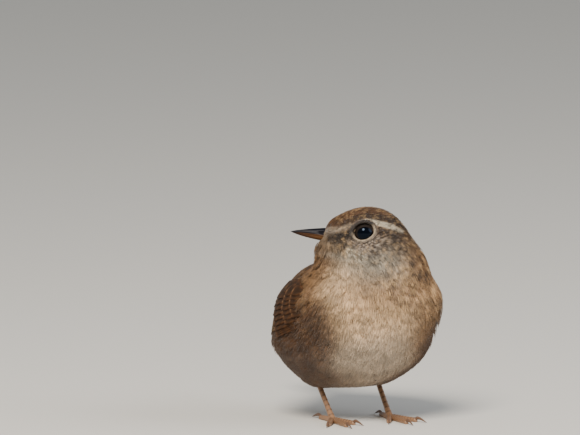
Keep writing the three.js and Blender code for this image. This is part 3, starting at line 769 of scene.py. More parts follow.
def bill_half_width(share):
    """Half the bill's width at a share of its length."""
    return 2.4 * (1 - share) ** 1.35 + 0.14


def upper_depth(share):
    """Depth of the upper half of the bill."""
    return 2.75 * (1 - share) ** 0.78 + 0.12


def lower_depth(share):
    """Depth of the lower half of the bill."""
    return 1.15 * (1 - share**2.8) + 0.1


def bill_half(upper, rings=72, around=48):
    """Half a bill: rings along the bill whose sides follow |cos| and |sin| of the angle.

    The half width, the depth and the line of the mouth come from the share of the length. The
    upper half has a ridge, pinched nostrils in a groove and a fine overhang at its tip.
    """
    tip = BILL_TIP if upper else BILL_TIP - 0.45
    s = np.linspace(0, 1, rings)[:, None]
    angle = turns(around)
    forward = BILL_BASE + (tip - BILL_BASE) * (1 - (1 - s) ** 1.15)
    share = (forward - BILL_BASE) / (tip - BILL_BASE)
    width, top, bottom = bill_half_width(share), upper_depth(share), lower_depth(share)
    lean = np.maximum(0, np.sin(angle))
    rise = top * lean if upper else -bottom * lean
    flat = np.where(np.sin(angle) < 0, 0.12 * np.sin(angle) * width * (-1 if upper else 1), 0)
    left = width * np.cos(angle)
    if upper:
        ridge = np.exp(-((np.cos(angle) / 0.22) ** 2)) * lean
        rise = rise * (0.97 + 0.05 * ridge)
        ahead, above = forward - NOSTRIL_FORWARD, rise - NOSTRIL_RISE
        hollow = np.exp(-(ahead / 1.05) ** 2 - (above / 0.34) ** 2)
        groove = np.exp(-((ahead - 1) / 2.4) ** 2 - (above / 0.5) ** 2)
        left = left * (1 - 0.34 * hollow - 0.07 * groove)
    parting = 0.02 if upper else -0.02
    height = commissure(forward) + parting + rise + flat
    return from_head(forward + 0 * angle, left, height), share + 0 * angle, lean + 0 * s


# Vanes: wing and tail feathers

VANE_ACROSS = np.array((-1, -0.66, -0.3, -0.07, 0, 0.07, 0.3, 0.66, 1, 0.66, 0.3, 0, -0.3, -0.66))
VANE_RISE = np.array((0, 0.8, 1, 1, 1.6, 1, 1, 0.8, 0, -0.8, -1, -1, -1, -0.8))


def vane_outline(share):
    """A feather's half width at a share of its length: a widening sine with an elliptic tip."""
    widening = 0.38 + 0.62 * np.sin(np.minimum(share / 0.5, 1) * math.pi / 2)
    return widening * np.sqrt(1 - np.clip((share - 0.62) / 0.3805, 0, 1) ** 2)


def curve_at(line, share):
    """Points at shares along a straight line or a quadratic arc of (y, z) places."""
    places = np.array(line, float)
    share = np.asarray(share)[..., None]
    if len(places) == 2:
        return places[0] * (1 - share) + places[1] * share
    first, middle, last = places
    return (1 - share) ** 2 * first + 2 * share * (1 - share) * middle + share**2 * last


WING_CLEARANCE = 0.45
VANE_TILT = 0.2


def on_wing(side, y, z, height):
    """Points of the wing's sheet: out along X to the level of the clearance and the height."""
    origin = np.stack(np.broadcast_arrays(0.0 * y, y, z), -1)
    ray = np.broadcast_to(np.array((side, 0.0, 0.0)), origin.shape)
    level = WING_CLEARANCE + height
    return last_inside(origin, ray, 40.0, lambda points: plumage(points, WING_BED)[0] < level)


# Each tier: how many feathers, the lines of their roots and tips in the side view, their width,
# and how far they are lifted at root and tip
FLIGHT_TIERS = (
    (9, ((0, 26.6), (5, 30.2)), ((21, 21.4), (31, 22.2), (30.4, 27.0)), 3.7, (0.45, 0.5)),
    (6, ((2, 30.0), (4.5, 33.6)), ((24.6, 26.8), (25.6, 29.1), (22.4, 31.2)), 3.9, (0.5, 0.75)),
    (3, ((4, 32.6), (5, 34.6)), ((22.6, 29.8), (16.8, 33.4)), 4.6, (0.55, 0.85)),
)
COVERT_TIERS = (
    (6, ((-6, 27.0), (-4.5, 29.0)), ((4.6, 23.0), (8.2, 25.2)), 2.6, (0.6, 0.9)),
    (7, ((-3.5, 27.8), (1.5, 34.8)), ((6.2, 25.2), (11.6, 27.6), (11.0, 33.4)), 3.6, (0.7, 1.15)),
    (7, ((-6, 29.2), (-2.5, 35.6)), ((0.8, 27.4), (5.6, 30.4), (4.8, 34.8)), 3.2, (0.5, 1.25)),
    (6, ((-7.2, 30.6), (-4.6, 35.6)), ((-2.6, 29.6), (0.8, 32.0), (0.2, 35.4)), 2.8, (0.0, 1.35)),
    (6, ((-3, 36.4), (4, 35.4)), ((7.5, 35.6), (16.5, 32.6)), 3.4, (0.55, 0.9)),
)


def wing_tier(rng, side, tier, rings):
    """Vanes of one tier of the folded wing, and the place of each point on its feather.

    Each feather bows gently from its root to its tip in the side view. Across it the sheet drops
    by VANE_TILT per millimetre from its lower edge up, so each lies over the one below.
    """
    count, roots, tips, width, lift = tier
    share = np.linspace(0, 1, count)
    root, tip = curve_at(roots, share), curve_at(tips, share)
    tip = tip + (root - tip) * rng.uniform(0, 0.05, count)[:, None]
    length = np.linalg.norm(tip - root, axis=-1)
    ahead = (tip - root) / length[:, None]
    upwards = np.stack((-ahead[:, 1], ahead[:, 0]), -1)
    s = np.linspace(0, 1, rings) ** 0.85
    wide = width / 2 * rng.uniform(0.95, 1.05, count)
    across = wide[:, None, None] * vane_outline(s)[None, :, None] * VANE_ACROSS
    rise = 0.07 * (1 - 0.5 * s[None, :, None] ** 3) * VANE_RISE
    bow = (0.2 * length)[:, None, None] * (s * (1 - s))[None, :, None]
    middle = root[:, None] + (tip - root)[:, None] * s[None, :, None]
    place = middle[:, :, None] + upwards[:, None, None] * (across + bow)[..., None]
    raised = lift[0] + (lift[1] - lift[0]) * np.sin(s * math.pi / 2)[None, :, None]
    height = raised + rise - VANE_TILT * across
    points = on_wing(side, place[..., 0], place[..., 1], height)
    from_tip = (length[:, None] * (1 - s))[..., None] + 0 * across
    return points, np.stack((from_tip, across, 0 * across), -1)


# The tail's frame: across, along and up

TAIL_ROOT = np.array((0.2, 24.0, 28.6))
TAIL_AXES = rounded_form(TAIL_ROOT, (1, 1, 1), 4, math.radians(5))[2]


def tail_vane(start, length, offsets, width, heights, roof, rings):
    """One tail feather: straight from its root to its tip, roofed down from the middle."""
    s = np.linspace(0, 1, rings)[:, None] ** 0.9
    across = width / 2 * vane_outline(s) * VANE_ACROSS
    x = offsets[0] + (offsets[1] - offsets[0]) * s + across
    rise = 0.08 * (1 - 0.5 * s**3) * VANE_RISE
    z = heights[0] + (heights[1] - heights[0]) * s - roof * np.abs(x) + rise
    local = np.stack((x, start + length * s + 0 * across, z), -1)
    place = np.stack((length * (1 - s) + 0 * across, across, 0 * across), -1)
    return TAIL_ROOT + local @ TAIL_AXES.T, place


def tail_feathers(rings):
    """Twelve tail feathers, the middle pair on top and each outer one a little shorter."""
    made = []
    for pair in range(6):
        for side in (1, -1):
            height = 0.5 - 0.3 * pair + (0.15 if side > 0 else 0)
            offsets = (side * (0.2 + 0.25 * pair), side * (0.45 + 0.72 * pair))
            made.append(
                tail_vane(1.5, 29.5 - 0.2 * pair**2, offsets, 4.0, (height, height), 0.05, rings)
            )
    return [np.stack(part) for part in zip(*made)]


def tail_coverts(rng, rings):
    """Rows of shorter vanes over and under the root of the tail."""
    made = []
    for row, reach in enumerate((15.0, 11.0, 7.5)):
        for across in np.linspace(-3.0, 3.0, 7 - row):
            offsets = (0.5 * across, across + rng.normal(0, 0.15))
            far = reach * rng.uniform(0.92, 1.03) * (1 - 0.012 * across**2)
            step = 0.22 * row
            above = (1.5 + step, 0.95 + step - 0.05 * across**2)
            below = (-2.6 - step, -1.75 - step + 0.05 * across**2)
            made.append(tail_vane(2.0, far, offsets, 3.0, above, 0.1, rings))
            made.append(tail_vane(2.0, far, offsets, 3.0, below, -0.1, rings))
    return [np.stack(part) for part in zip(*made)]


# Eyes

RING_TUFTS, RING_ROWS = 84, 3  # short feathers round the lids


def eye_rings(side):
    """Rings round the eye's own axis: a sphere with the cornea standing a little proud of it.

    Outside the lids' ellipse the ball is a little smaller, so it stays under the feathers.
    """
    polar = np.linspace(0.02, math.pi - 0.02, 48)[:, None]
    angle = turns(64)
    cornea = 0.006 * np.exp(-((polar / 0.6) ** 2))
    reach = EYEBALL_RADIUS * np.sin(np.minimum(polar, math.pi / 2))
    reach = reach * np.hypot(np.cos(angle) / LID_LONG, np.sin(angle) / LID_HIGH)
    radius = EYEBALL_RADIUS * (0.995 + cornea - 0.13 * smooth(2.08, 2.6, reach))
    out = HEAD_AXES[1] * (1 if side == "L" else -1)
    ring = np.cos(angle)[..., None] * HEAD_AXES[0] + np.sin(angle)[..., None] * HEAD_AXES[2]
    local = out * (radius * np.cos(polar))[..., None] + ring * (radius * np.sin(polar))[..., None]
    return EYE_MIDDLES[side] + local, polar + 0 * angle


def proud_side(turn):
    """1 in front of and above the eye, 0 behind and below it."""
    return smooth(-0.3, 0.5, 0.6 * np.cos(turn) + 0.8 * np.sin(turn))


def lid_rings(side):
    """A rounded rim, longer than high, scalloped along its edge where its small scales meet.

    It hugs the eyeball, and is broader in front and above, where the ball stands proud of the
    feathers.
    """
    turn = turns(96).T
    angle = turns(14)
    thick = 0.17 * (1 + 0.07 * np.cos(26 * turn))
    broad = 0.13 * proud_side(turn)
    radius = RIM_RADIUS + broad + (thick + broad) * np.cos(angle)
    out = HEAD_AXES[1] * (1 if side == "L" else -1)
    ahead, above = LID_LONG * radius * np.cos(turn), LID_HIGH * radius * np.sin(turn)
    height = np.sqrt(EYEBALL_RADIUS**2 - ahead**2 - above**2) + 0.7 * thick * np.sin(angle)
    in_plane = ahead[..., None] * HEAD_AXES[0] + above[..., None] * HEAD_AXES[2]
    return EYE_MIDDLES[side] + in_plane + out * height[..., None]


def eye_ring_roots(side):
    """Roots of the rows of short feathers round the lids, the way they lie, turn and row.

    They follow the rim's own ellipse and point away from it and back.
    """
    rows = np.arange(RING_ROWS)
    turn, row = np.meshgrid(turns(RING_TUFTS)[0], rows, indexing="ij")
    turn, row = (turn + row * 0.025).ravel(), row.ravel()
    reach = 2.16 + 0.19 * row
    ahead = (LID_LONG * reach * np.cos(turn))[:, None] * HEAD_AXES[0]
    above = (LID_HIGH * reach * np.sin(turn))[:, None] * HEAD_AXES[2]
    points = EYE_MIDDLES[side] + ahead + above
    for _ in range(5):
        distance, out = plumage(points)
        points = points + out * (-0.3 - distance)[:, None]
    lie = unit(unit(ahead + above) - 0.75 * HEAD_AXES[0])
    lie = unit(lie - out * (lie * out).sum(-1, keepdims=True))
    return points, out, lie, turn, row


def ring_faces(rings, around):
    """Quads of a surface that closes on itself both ways."""
    ring, spot = np.meshgrid(np.arange(rings), np.arange(around), indexing="ij")
    after, following = (ring + 1) % rings, (spot + 1) % around
    low, high = ring * around, after * around
    return np.stack((low + spot, low + following, high + following, high + spot), -1).reshape(-1, 4)


# Legs

ANKLE = np.array((8.6, 12.0, 13.0))
FOOT_MIDDLE = np.array((8.2, -1.0, 1.0))
TARSUS_RADIUS = 0.78
# Each toe's heading in degrees from straight ahead, its length and its claw's length
TOES = ((-24, 8.2, 3.3), (2, 11.2, 3.8), (29, 9.2, 3.4), (176, 7.2, 4.8))
TOE_RADIUS = 0.82
SHANK_PLATE, TOE_PLATE = 1.7, 0.95  # lengths of the plates
FURROW_SHADE = 0.45


def scutes(distance, size):
    """Overlapping plates: each rises slowly and drops at its lower edge."""
    phase = (distance / size) % 1
    return phase * smooth(1.0, 0.82, phase)


def groove(distance, size):
    """1 in the furrow between two plates, 0 on them."""
    phase = (distance / size) % 1
    return smooth(0.72, 0.9, phase) + smooth(0.12, 0.0, phase)


def shank_rings(side, rings=110, around=20):
    """The bare leg from foot to feathers: a tube with plates down its front."""
    low, high = FOOT_MIDDLE * (side, 1, 1), ANKLE * (side, 1, 1)
    length = np.linalg.norm(high - low)
    along = (high - low) / length
    across = np.array((1.0, 0, 0))
    front = np.cross(along, across)
    front = front * (1 if front[1] < 0 else -1)
    s = np.linspace(-0.04, 1, rings)[:, None]
    angle = turns(around)
    in_front = smooth(-0.1, 0.5, np.sin(angle))
    plates = 0.13 * scutes(length * (1 - s), SHANK_PLATE) * in_front
    radius = TARSUS_RADIUS * (1 + 0.35 * (2 * s - 1) ** 4 + plates)
    radius = radius * (1 - 0.16 * np.abs(np.cos(angle)))
    ring = np.cos(angle)[..., None] * across + np.sin(angle)[..., None] * front
    point = low + along * (s * length)[..., None] + ring * radius[..., None]
    point[..., 2] = np.maximum(point[..., 2], 0.0)
    return point, groove(length * (1 - s), SHANK_PLATE) * in_front


def toe_frame(side, heading):
    """Where a toe starts on the floor, the way it points and the way across it."""
    turn = math.radians(heading)
    ahead = np.array((side * math.sin(turn), -math.cos(turn), 0))
    start = np.array((side * FOOT_MIDDLE[0], FOOT_MIDDLE[1], 0))
    return start, ahead, np.array((-ahead[1], ahead[0], 0))


def toe_rings(side, toe, rings=64, around=16):
    """A toe: plates on top, pads below and its sole pressed flat on the floor."""
    heading, length, _ = toe
    start, ahead, across = toe_frame(side, heading)
    s = np.linspace(-0.06, 1, rings)[:, None]
    angle = turns(around)
    distance = s * length
    rounding = np.clip(1 - np.clip((s - 0.93) / 0.09, 0, 1) ** 2, 0.04, 1)
    taper = (1 - 0.25 * np.clip(s, 0, 1)) * np.sqrt(rounding)
    pads = 0.1 * np.cos(2 * math.pi * 3 * s) * smooth(0.2, -0.6, np.sin(angle))
    on_top = smooth(-0.1, 0.5, np.sin(angle))
    plates = 0.14 * scutes(distance, TOE_PLATE) * on_top
    radius = TOE_RADIUS * taper * (1 + pads + plates)
    height = TOE_RADIUS * taper - 0.14
    point = start + ahead * distance[..., None]
    point = point + across * (radius * np.cos(angle))[..., None]
    point[..., 2] = np.maximum(height + radius * np.sin(angle), 0.0)
    return point, groove(distance, TOE_PLATE) * on_top


def claw_rings(side, toe, rings=28, around=14):
    """A claw: a curved horn, flat-sided, that leaves the toe high and comes down to the floor."""
    heading, length, claw = toe
    start, ahead, across = toe_frame(side, heading)
    s = np.linspace(0, 1, rings)[:, None]
    angle = turns(around)
    radius = 0.47 * (1 - s) ** 0.7 + 0.045
    distance = length - 0.55 + (claw + 0.5) * s
    height = 0.5 + 0.72 * np.sin(math.pi * s**0.62) - 0.38 * s
    point = start + ahead * distance[..., None]
    point = point + across * (0.72 * radius * np.cos(angle))[..., None]
    point[..., 2] = np.maximum(height + radius * np.sin(angle), 0.0)
    return point


# Properties


def size(name, description, default):
    """A length in metres with a name and a description."""
    return bpy.props.FloatProperty(
        name=name, description=description, default=default, min=0, unit="LENGTH", precision=5
    )


def tint(name, description, default):
    """A colour with a name and a description, from its sRGB hex value."""
    return bpy.props.FloatVectorProperty(
        name=name,
        description=description,
        default=[float(part) for part in linear(default)],
        min=0,
        max=1,
        subtype="COLOR",
    )


class CoatSizes(bpy.types.PropertyGroup):
    """Lengths of the contour feathers."""

    body_depth: size("Body depth", "Depth of the coat over the skin of the body", 0.0011)
    face_depth: size("Face depth", "Depth of the coat round the bill and eyes", 0.00032)
    body_feather: size("Body feather", "Visible length of a feather of the body", 0.0070)
    face_feather: size("Face feather", "Length of a feather at the bill and eyes", 0.0012)
    body_spacing: size("Body spacing", "From one feather of the body to the next", 0.00138)
    face_spacing: size("Face spacing", "From one feather of the face to the next", 0.0005)


class PlumageColours(bpy.types.PropertyGroup):
    """Colours of the parts of the plumage."""

    crown: tint("Crown", "Top of the head", "#60422a")
    forehead: tint("Forehead", "Front of the crown", "#5a3e26")
    brow: tint("Brow", "Stripe over the eye", "#eadcc2")
    lore: tint("Lore", "Between the bill and the eye", "#251b13")
    chin: tint("Chin", "Front of the face under the bill", "#6f5c43")
    cheek: tint("Cheek", "Below the eye", "#a39384")
    ear: tint("Ear", "Ear coverts", "#84705a")
    eye_stripe: tint("Eye stripe", "Stripe behind the eye", "#4a3524")
    eye_ring: tint("Eye ring", "Short feathers round the lids", "#b3a188")
    throat: tint("Throat", "Chin and throat", "#aea797")
    # also laid on the bird's left side alone, partly as painted shade of the side away from the
    # light
    neck: tint("Neck", "Side of the neck that the turned head pulls forward", "#7d572f")
    breast: tint("Breast", "Upper breast", "#a07850")
    pale_breast: tint("Pale breast", "Band across the middle of the breast", "#e4c196")
    belly: tint("Belly", "Middle of the belly", "#c9b59d")
    shoulder: tint("Shoulder", "Side of the breast by the wing", "#7f5f3e")
    # the flank's own brown, darkened to serve also as painted shade under the front of the wing
    flank: tint("Flank", "Sides behind the breast", "#553515")
    vent: tint("Vent", "Under the tail", "#7a5a36")
    nape: tint("Nape", "Back of the neck", "#4a3218")
    back: tint("Back", "Mantle and back", "#63421f")
    rump: tint("Rump", "Rump and upper tail coverts", "#744a22")
    dark_streak: tint("Dark streaks", "Bars, crescents and streaks", "#2c1e12")
    # the bird's own pale feather tips, and also the painted highlight on lit tips of head, nape and
    # back
    pale_fleck_and_glint: tint("Pale flecks", "Feather tips of head and neck", "#d3ae7c")
    wing: tint("Wing", "Webs of the wing feathers", "#4c3018")
    covert: tint("Coverts", "Webs of the wing coverts", "#33200f")
    wing_dark: tint("Wing bars", "Dark bars of wing and tail", "#1c1209")
    wing_pale: tint("Wing edge", "Pale bars on the outer webs", "#8a6a45")
    wing_fringe: tint("Wing fringes", "Rufous fringes of the coverts", "#5f3c20")
    wing_spot: tint("Wing spots", "Spots at the tips of the coverts", "#755639")
    tail: tint("Tail", "Webs of the tail feathers", "#6a3f1e")
    bill_dark: tint("Bill, dark", "Upper half of the bill", "#121118")
    bill_pale: tint("Bill, pale", "Cutting edges and base of the lower half", "#5f3f22")
    # pupil and iris: near black with a faint blue, which is painted reflection of a blue sky
    pupil: tint("Pupil", "Middle of the eye", "#02040a")
    iris: tint("Iris", "Ring round the pupil", "#030409")
    lid: tint("Lids", "Bare rims of the lids", "#1d1611")
    leg: tint("Legs", "Scaly skin of the legs and toes", "#8f6b4e")
    claw: tint("Claws", "Horn of the claws", "#6b5140")


class StageSettings(bpy.types.PropertyGroup):
    """Floor, lights and world."""

    floor: tint("Floor", "Colour of the plain floor", "#d6d3cc")
    key_power: bpy.props.FloatProperty(
        name="Key light", description="Power of the main soft light", default=26.0, unit="POWER"
    )


class WrenSettings(bpy.types.PropertyGroup):
    """All sizes and colours of the wren."""

    coat: bpy.props.PointerProperty(type=CoatSizes)
    colours: bpy.props.PointerProperty(type=PlumageColours)
    stage: bpy.props.PointerProperty(type=StageSettings)


FLESH = ("head", "neck", "torso", "thigh_L", "thigh_R")
SKIN_SHADE = 0.8  # the skin lies in the shadow of the tufts


class WREN_OT_skin(bpy.types.Operator):
    """One skin under the feathers of head, neck, body and thighs"""

    bl_idname = "wren.skin"
    bl_label = "Skin"

    def execute(self, context):
        rows, columns = 150, 144
        v = np.linspace(0, 1, rows + 1)[1:-1]
        u = np.arange(columns) / columns
        grid = skin_at(u[None, :], v[:, None])
        ends = skin_at(np.zeros(2), np.array((0.0, 1.0)))
        points = np.concatenate((grid.reshape(-1, 3), ends))
        faces = outward_faces(points, tube_faces(1, rows - 1, columns))
        across = np.concatenate((np.tile(u, rows - 1), (0, 0)))
        along = np.concatenate((np.repeat(v, columns), (0, 1)))
        uv = wrapped_uv(np.stack((across, along), -1), faces, 1)
        tone = markings(points) * SKIN_SHADE
        add_piece("skin", points, faces, uv, ("tint", tone), FLESH, feather_down())
        return {"FINISHED"}


REGIONS = (
    "head_left",
    "head_right",
    "breast_left",
    "flank_left",
    "flank_right",
    "back",
    "hindbody_left",
    "breast_right",
    "hindbody_right",
)
HEAD_BARBS, BODY_BARBS = 8, 20


class WREN_OT_coat(bpy.types.Operator):
    """Contour feathers of head, neck and body"""

    bl_idname = "wren.coat"
    bl_label = "Contour feathers"

    def execute(self, context):
        sizes = context.scene.wren.coat
        face_span, body_span = sizes.face_spacing / MM, sizes.body_spacing / MM

        def spacing_at(points):
            """From one feather to the next: the face's up to 5 mm off, the body's from 17 mm on."""
            forward, left, up = to_head(points)
            reach = np.sqrt(forward**2 / 1.4 + left**2 + (up + 0.5) ** 2)
            share = smooth(5, 17, reach)
            return face_span * (1 - share) + body_span * share

        u, v, roots = feather_roots(rows=130, columns=120, spacing_at=spacing_at, seed=7)
        _, outward = plumage(roots)
        rings = eye_offset(roots)[2]
        by_eye = np.abs(to_head(roots)[1]) > 3
        hidden = under_wing(roots)[0] > 0.5
        kept = ~(in_bill(roots) | hidden | ((rings < 1.0) & by_eye))
        u, v, roots, outward, rings, by_eye = (
            part[kept] for part in (u, v, roots, outward, rings, by_eye)
        )
        rng = np.random.default_rng(31)
        lie = lie_of(roots, outward, u, v)
        twist = rng.normal(0, 0.12, len(roots))[:, None]
        lie = unit(lie + np.cross(outward, lie) * twist)
        share = (spacing_at(roots) - face_span) / (body_span - face_span)
        length = (sizes.face_feather * (1 - share) + sizes.body_feather * share) / MM
        length *= rng.uniform(0.85, 1.15, len(roots))
        length *= 1 - 0.45 * smooth(1.8, 1.1, rings) * by_eye
        width = length * (0.62 - 0.06 * share)
        y, z = roots[:, 1], roots[:, 2]
        height = z + 0.2 * (y - 4)
        rear = smooth(8.0, 17.0, y)
        before_wing = smooth(-4.2, -7.2, y) * smooth(38.0, 35.0, height)
        above_wing = (0.45 + 0.45 * rear) * smooth(35.0 - 2 * rear, 38.0 - 2 * rear, height)
        below_wing = 0.7 * smooth(28.5, 26.0, height)
        covering = np.maximum(before_wing, np.maximum(above_wing, below_wing))
        rise = 0.05 + 0.2 * share + 1.4 * under_wing(roots)[1] * covering
        barb_width = 0.13 + 0.06 * share
        loose = share * (1 - 0.6 * smooth(30, 38, z) * smooth(-6, 2, y))
        fans = (roots, outward, lie, length, width, coat_depth(roots), rise, barb_width, loose)
        self.add_pieces(rng, u, v, share < 0.55, fans)
        return {"FINISHED"}

    def add_pieces(self, rng, u, v, on_head, fans):
        """One piece for each region, from the arrays that barb_fan takes.

        A feather belongs to the first region of the list whose condition its root meets.
        """
        roots = fans[0]
        left, right = to_head(roots)[1] > 0, roots[:, 0] < 0
        from_back = np.abs(u - 0.5)
        rear, front = v < 0.3, from_back > 0.36
        places = (
            (on_head & left, "head_left"),
            (on_head, "head_right"),
            (from_back < 0.17, "back"),
            (rear & right, "hindbody_right"),
            (rear, "hindbody_left"),
            (front & right, "breast_right"),
            (front, "breast_left"),
            (u < 0.5, "flank_left"),
        )
        conditions, labels = zip(*places)
        region = np.select(conditions, labels, "flank_right")
        material = feather_down()
        for label in REGIONS:
            here = region == label
            barbs = HEAD_BARBS if label.startswith("head") else BODY_BARBS
            points, place = barb_fan(rng, barbs, *(part[here] for part in fans))
            tone = feather_tones(rng, points, place, roots[here])
            home = np.stack((u[here], v[here]), -1)[:, None, None]
            uv = home + PATCH * np.stack((place[..., 1], 2 * place[..., 0] - 1), -1)
            add_piece(
                f"plumage_{label}",
                points.reshape(-1, 3),
                barb_faces(here.sum() * barbs),
                np.clip(uv.reshape(-1, 2), 0, 1),
                ("tint", tone.reshape(-1, 3)),
                FLESH,
                material,
            )


def horn(name, roughness, coat, gloss):
    """Keratin of bill, claws and scales, and the bare skin of the lids.

    It is grown in layers and worn smooth, so it has a low gloss.
    """
    material, tree, shader = new_material(
        name,
        {"IOR": 1.54, "Specular IOR Level": gloss, "Coat Weight": coat, "Coat Roughness": 0.25},
    )
    add_grain(tree, shader, 0.3, (roughness - 0.08, roughness + 0.12), (0.85, 1.15), 0.012)
    return material


BAR_CLOUD = 2.5  # mm, size of the drift that makes the bars uneven
BARB_PITCH = 0.42  # mm between the lines of barbs, a little coarse so that they show


def barred_vane(name, base, dark, fringe, period, strength, spot_tone=None):
    """Stiff vanes of wing or tail: keratin barbs hooked flat together, with a dull satin look.

    Bars cross each vane, slanting back from its shaft. The outer webs are pale between them, and
    fine lines run out from the shaft along the barbs.
    """
    material, tree, shader = new_material(name, {"IOR": 1.54, "Specular IOR Level": 0.2})
    place = node(tree, "ShaderNodeAttribute", {"attribute_name": "vane"})
    parts = node(tree, "ShaderNodeSeparateXYZ", {}, {"Vector": place.outputs["Vector"]})
    from_tip, across, edge = (parts.outputs[axis] for axis in "XYZ")
    half = node(tree, "ShaderNodeMath", {"operation": "ABSOLUTE"}, {0: across}).outputs[0]
    coordinates = node(tree, "ShaderNodeTexCoord").outputs["Object"]
    cloud = node(
        tree,
        "ShaderNodeTexNoise",
        {"Scale": 1 / (BAR_CLOUD * MM), "Detail": 3.0},
        {"Vector": coordinates},
    ).outputs["Fac"]
    slanted = node(
        tree, "ShaderNodeMath", {"operation": "MULTIPLY_ADD", 1: 0.55}, {0: half, 2: from_tip}
    ).outputs[0]
    moved = node(
        tree, "ShaderNodeMath", {"operation": "MULTIPLY_ADD", 1: 1.3}, {0: cloud, 2: slanted}
    ).outputs[0]
    phase = node(
        tree, "ShaderNodeMath", {"operation": "MULTIPLY", 1: 2 * math.pi / period}, {0: moved}
    ).outputs[0]
    wave = node(tree, "ShaderNodeMath", {"operation": "SINE"}, {0: phase}).outputs[0]
    soft_step, mixed = {"interpolation_type": "SMOOTHSTEP"}, {"data_type": "RGBA"}
    bar = node(
        tree,
        "ShaderNodeMapRange",
        {**soft_step, "From Min": -0.45, "From Max": 0.45, "To Max": strength},
        {"Value": wave},
    ).outputs["Result"]
    web = node(tree, "ShaderNodeMix", mixed, {0: edge, 6: rgba(base), 7: rgba(fringe)}).outputs[2]
    barred = node(tree, "ShaderNodeMix", mixed, {0: bar, 6: web, 7: rgba(dark)}).outputs[2]
    if spot_tone is not None:
        off = node(
            tree, "ShaderNodeMath", {"operation": "SUBTRACT", 1: 0.55}, {0: from_tip}
        ).outputs[0]
        spot = node(tree, "ShaderNodeCombineXYZ", {}, {"X": off, "Y": across}).outputs[0]
        reach = node(
            tree, "ShaderNodeVectorMath", {"operation": "LENGTH"}, {0: spot}
        ).outputs["Value"]
        inside = node(
            tree,
            "ShaderNodeMapRange",
            {**soft_step, "From Min": 0.5, "From Max": 0.2},
            {"Value": reach},
        ).outputs["Result"]
        barred = node(
            tree, "ShaderNodeMix", mixed, {0: inside, 6: barred, 7: rgba(spot_tone)}
        ).outputs[2]
    barbs = node(
        tree, "ShaderNodeMath", {"operation": "MULTIPLY_ADD", 1: -1.0}, {0: half, 2: from_tip}
    ).outputs[0]
    line = node(
        tree, "ShaderNodeMath", {"operation": "MULTIPLY", 1: 2 * math.pi / BARB_PITCH}, {0: barbs}
    ).outputs[0]
    ridge = node(tree, "ShaderNodeMath", {"operation": "SINE"}, {0: line}).outputs[0]
    relief = node(
        tree, "ShaderNodeBump", {"Strength": 0.35, "Distance": 0.03 * MM}, {"Height": ridge}
    )
    tree.links.new(relief.outputs["Normal"], shader.inputs["Normal"])
    fine = node(
        tree, "ShaderNodeMapRange", {"To Min": 0.65, "To Max": 0.85}, {"Value": cloud}
    ).outputs["Result"]
    tree.links.new(fine, shader.inputs["Roughness"])
    value = node(
        tree,
        "ShaderNodeMapRange",
        {"From Min": -1.0, "To Min": 0.93, "To Max": 1.06},
        {"Value": ridge},
    ).outputs["Result"]
    toned = node(tree, "ShaderNodeHueSaturation", {}, {"Color": barred, "Value": value})
    tree.links.new(toned.outputs["Color"], shader.inputs["Base Color"])
    return material


def cell_uv(count, points_each, along, across):
    """Each feather's own cell of a square grid of cells, filled by its length and width."""
    side = math.ceil(math.sqrt(count))
    number = np.repeat(np.arange(count), points_each)
    u = (number % side + 0.08 + 0.84 * across) / side
    v = (number // side + 0.08 + 0.84 * along) / side
    return np.stack((u, v), -1)


def add_vanes(name, points, place, replaces, material):
    """One piece of closed vanes, with each point's distance from the tip and from the shaft."""
    count, rings, around = points.shape[:3]
    flat = tube_points(points)
    faces = outward_faces(flat, tube_faces(count, rings, around))
    values = tube_values(place)
    along = values[:, 0] / values[:, 0].max()
    across = (values[:, 1] / (2 * np.abs(values[:, 1]).max())) + 0.5
    uv = cell_uv(count, len(flat) // count, along, across)
    add_piece(name, flat, faces, uv, ("vane", values), replaces, material)


class WREN_OT_wings(bpy.types.Operator):
    """Folded wings: flight feathers and rows of coverts"""

    bl_idname = "wren.wings"
    bl_label = "Wings"

    def execute(self, context):
        colours = context.scene.wren.colours
        flight = barred_vane(
            "wing_quill_vanes", colours.wing, colours.wing_dark, colours.wing_pale, 2.1, 0.95
        )
        covert = barred_vane(
            "wing_covert_vanes",
            colours.covert,
            colours.wing_dark,
            colours.wing_fringe,
            2.8,
            0.45,
            colours.wing_spot,
        )
        for letter, side, seed in (("L", 1, 11), ("R", -1, 23)):
            rng = np.random.default_rng(seed)
            for label, tiers, rings, material in (
                ("wing_quills", FLIGHT_TIERS, 28, flight),
                ("wing_coverts", COVERT_TIERS, 18, covert),
            ):
                made = [wing_tier(rng, side, tier, rings) for tier in tiers]
                points, place = (np.concatenate(part) for part in zip(*made))
                if label == "wing_quills":
                    primaries = tiers[0][0]
                    outer = smooth(-0.15, -0.5, place[:primaries, ..., 1])
                    place[:primaries, ..., 2] = outer
                else:
                    half = np.abs(place[..., 1]).max(2, keepdims=True)
                    margin = smooth(0.5, 0.95, np.abs(place[..., 1]) / np.maximum(half, 0.1))
                    place[..., 2] = np.maximum(margin, smooth(1.3, 0.5, place[..., 0]))
                name, wing = f"{label}_{letter}", (f"wing_{letter}",)
                add_vanes(name, points, place, wing, material)
        return {"FINISHED"}


class WREN_OT_tail(bpy.types.Operator):
    """Tail feathers and the coverts over and under them"""

    bl_idname = "wren.tail"
    bl_label = "Tail"

    def execute(self, context):
        colours = context.scene.wren.colours
        vane = barred_vane(
            "tail_vanes", colours.tail, colours.wing_dark, colours.wing_pale, 2.0, 0.9
        )
        points, place = tail_feathers(34)
        add_vanes("tail_feathers", points, place, ("tail",), vane)
        points, place = tail_coverts(np.random.default_rng(5), 18)
        add_vanes("tail_coverts", points, place, ("tail",), vane)
        return {"FINISHED"}


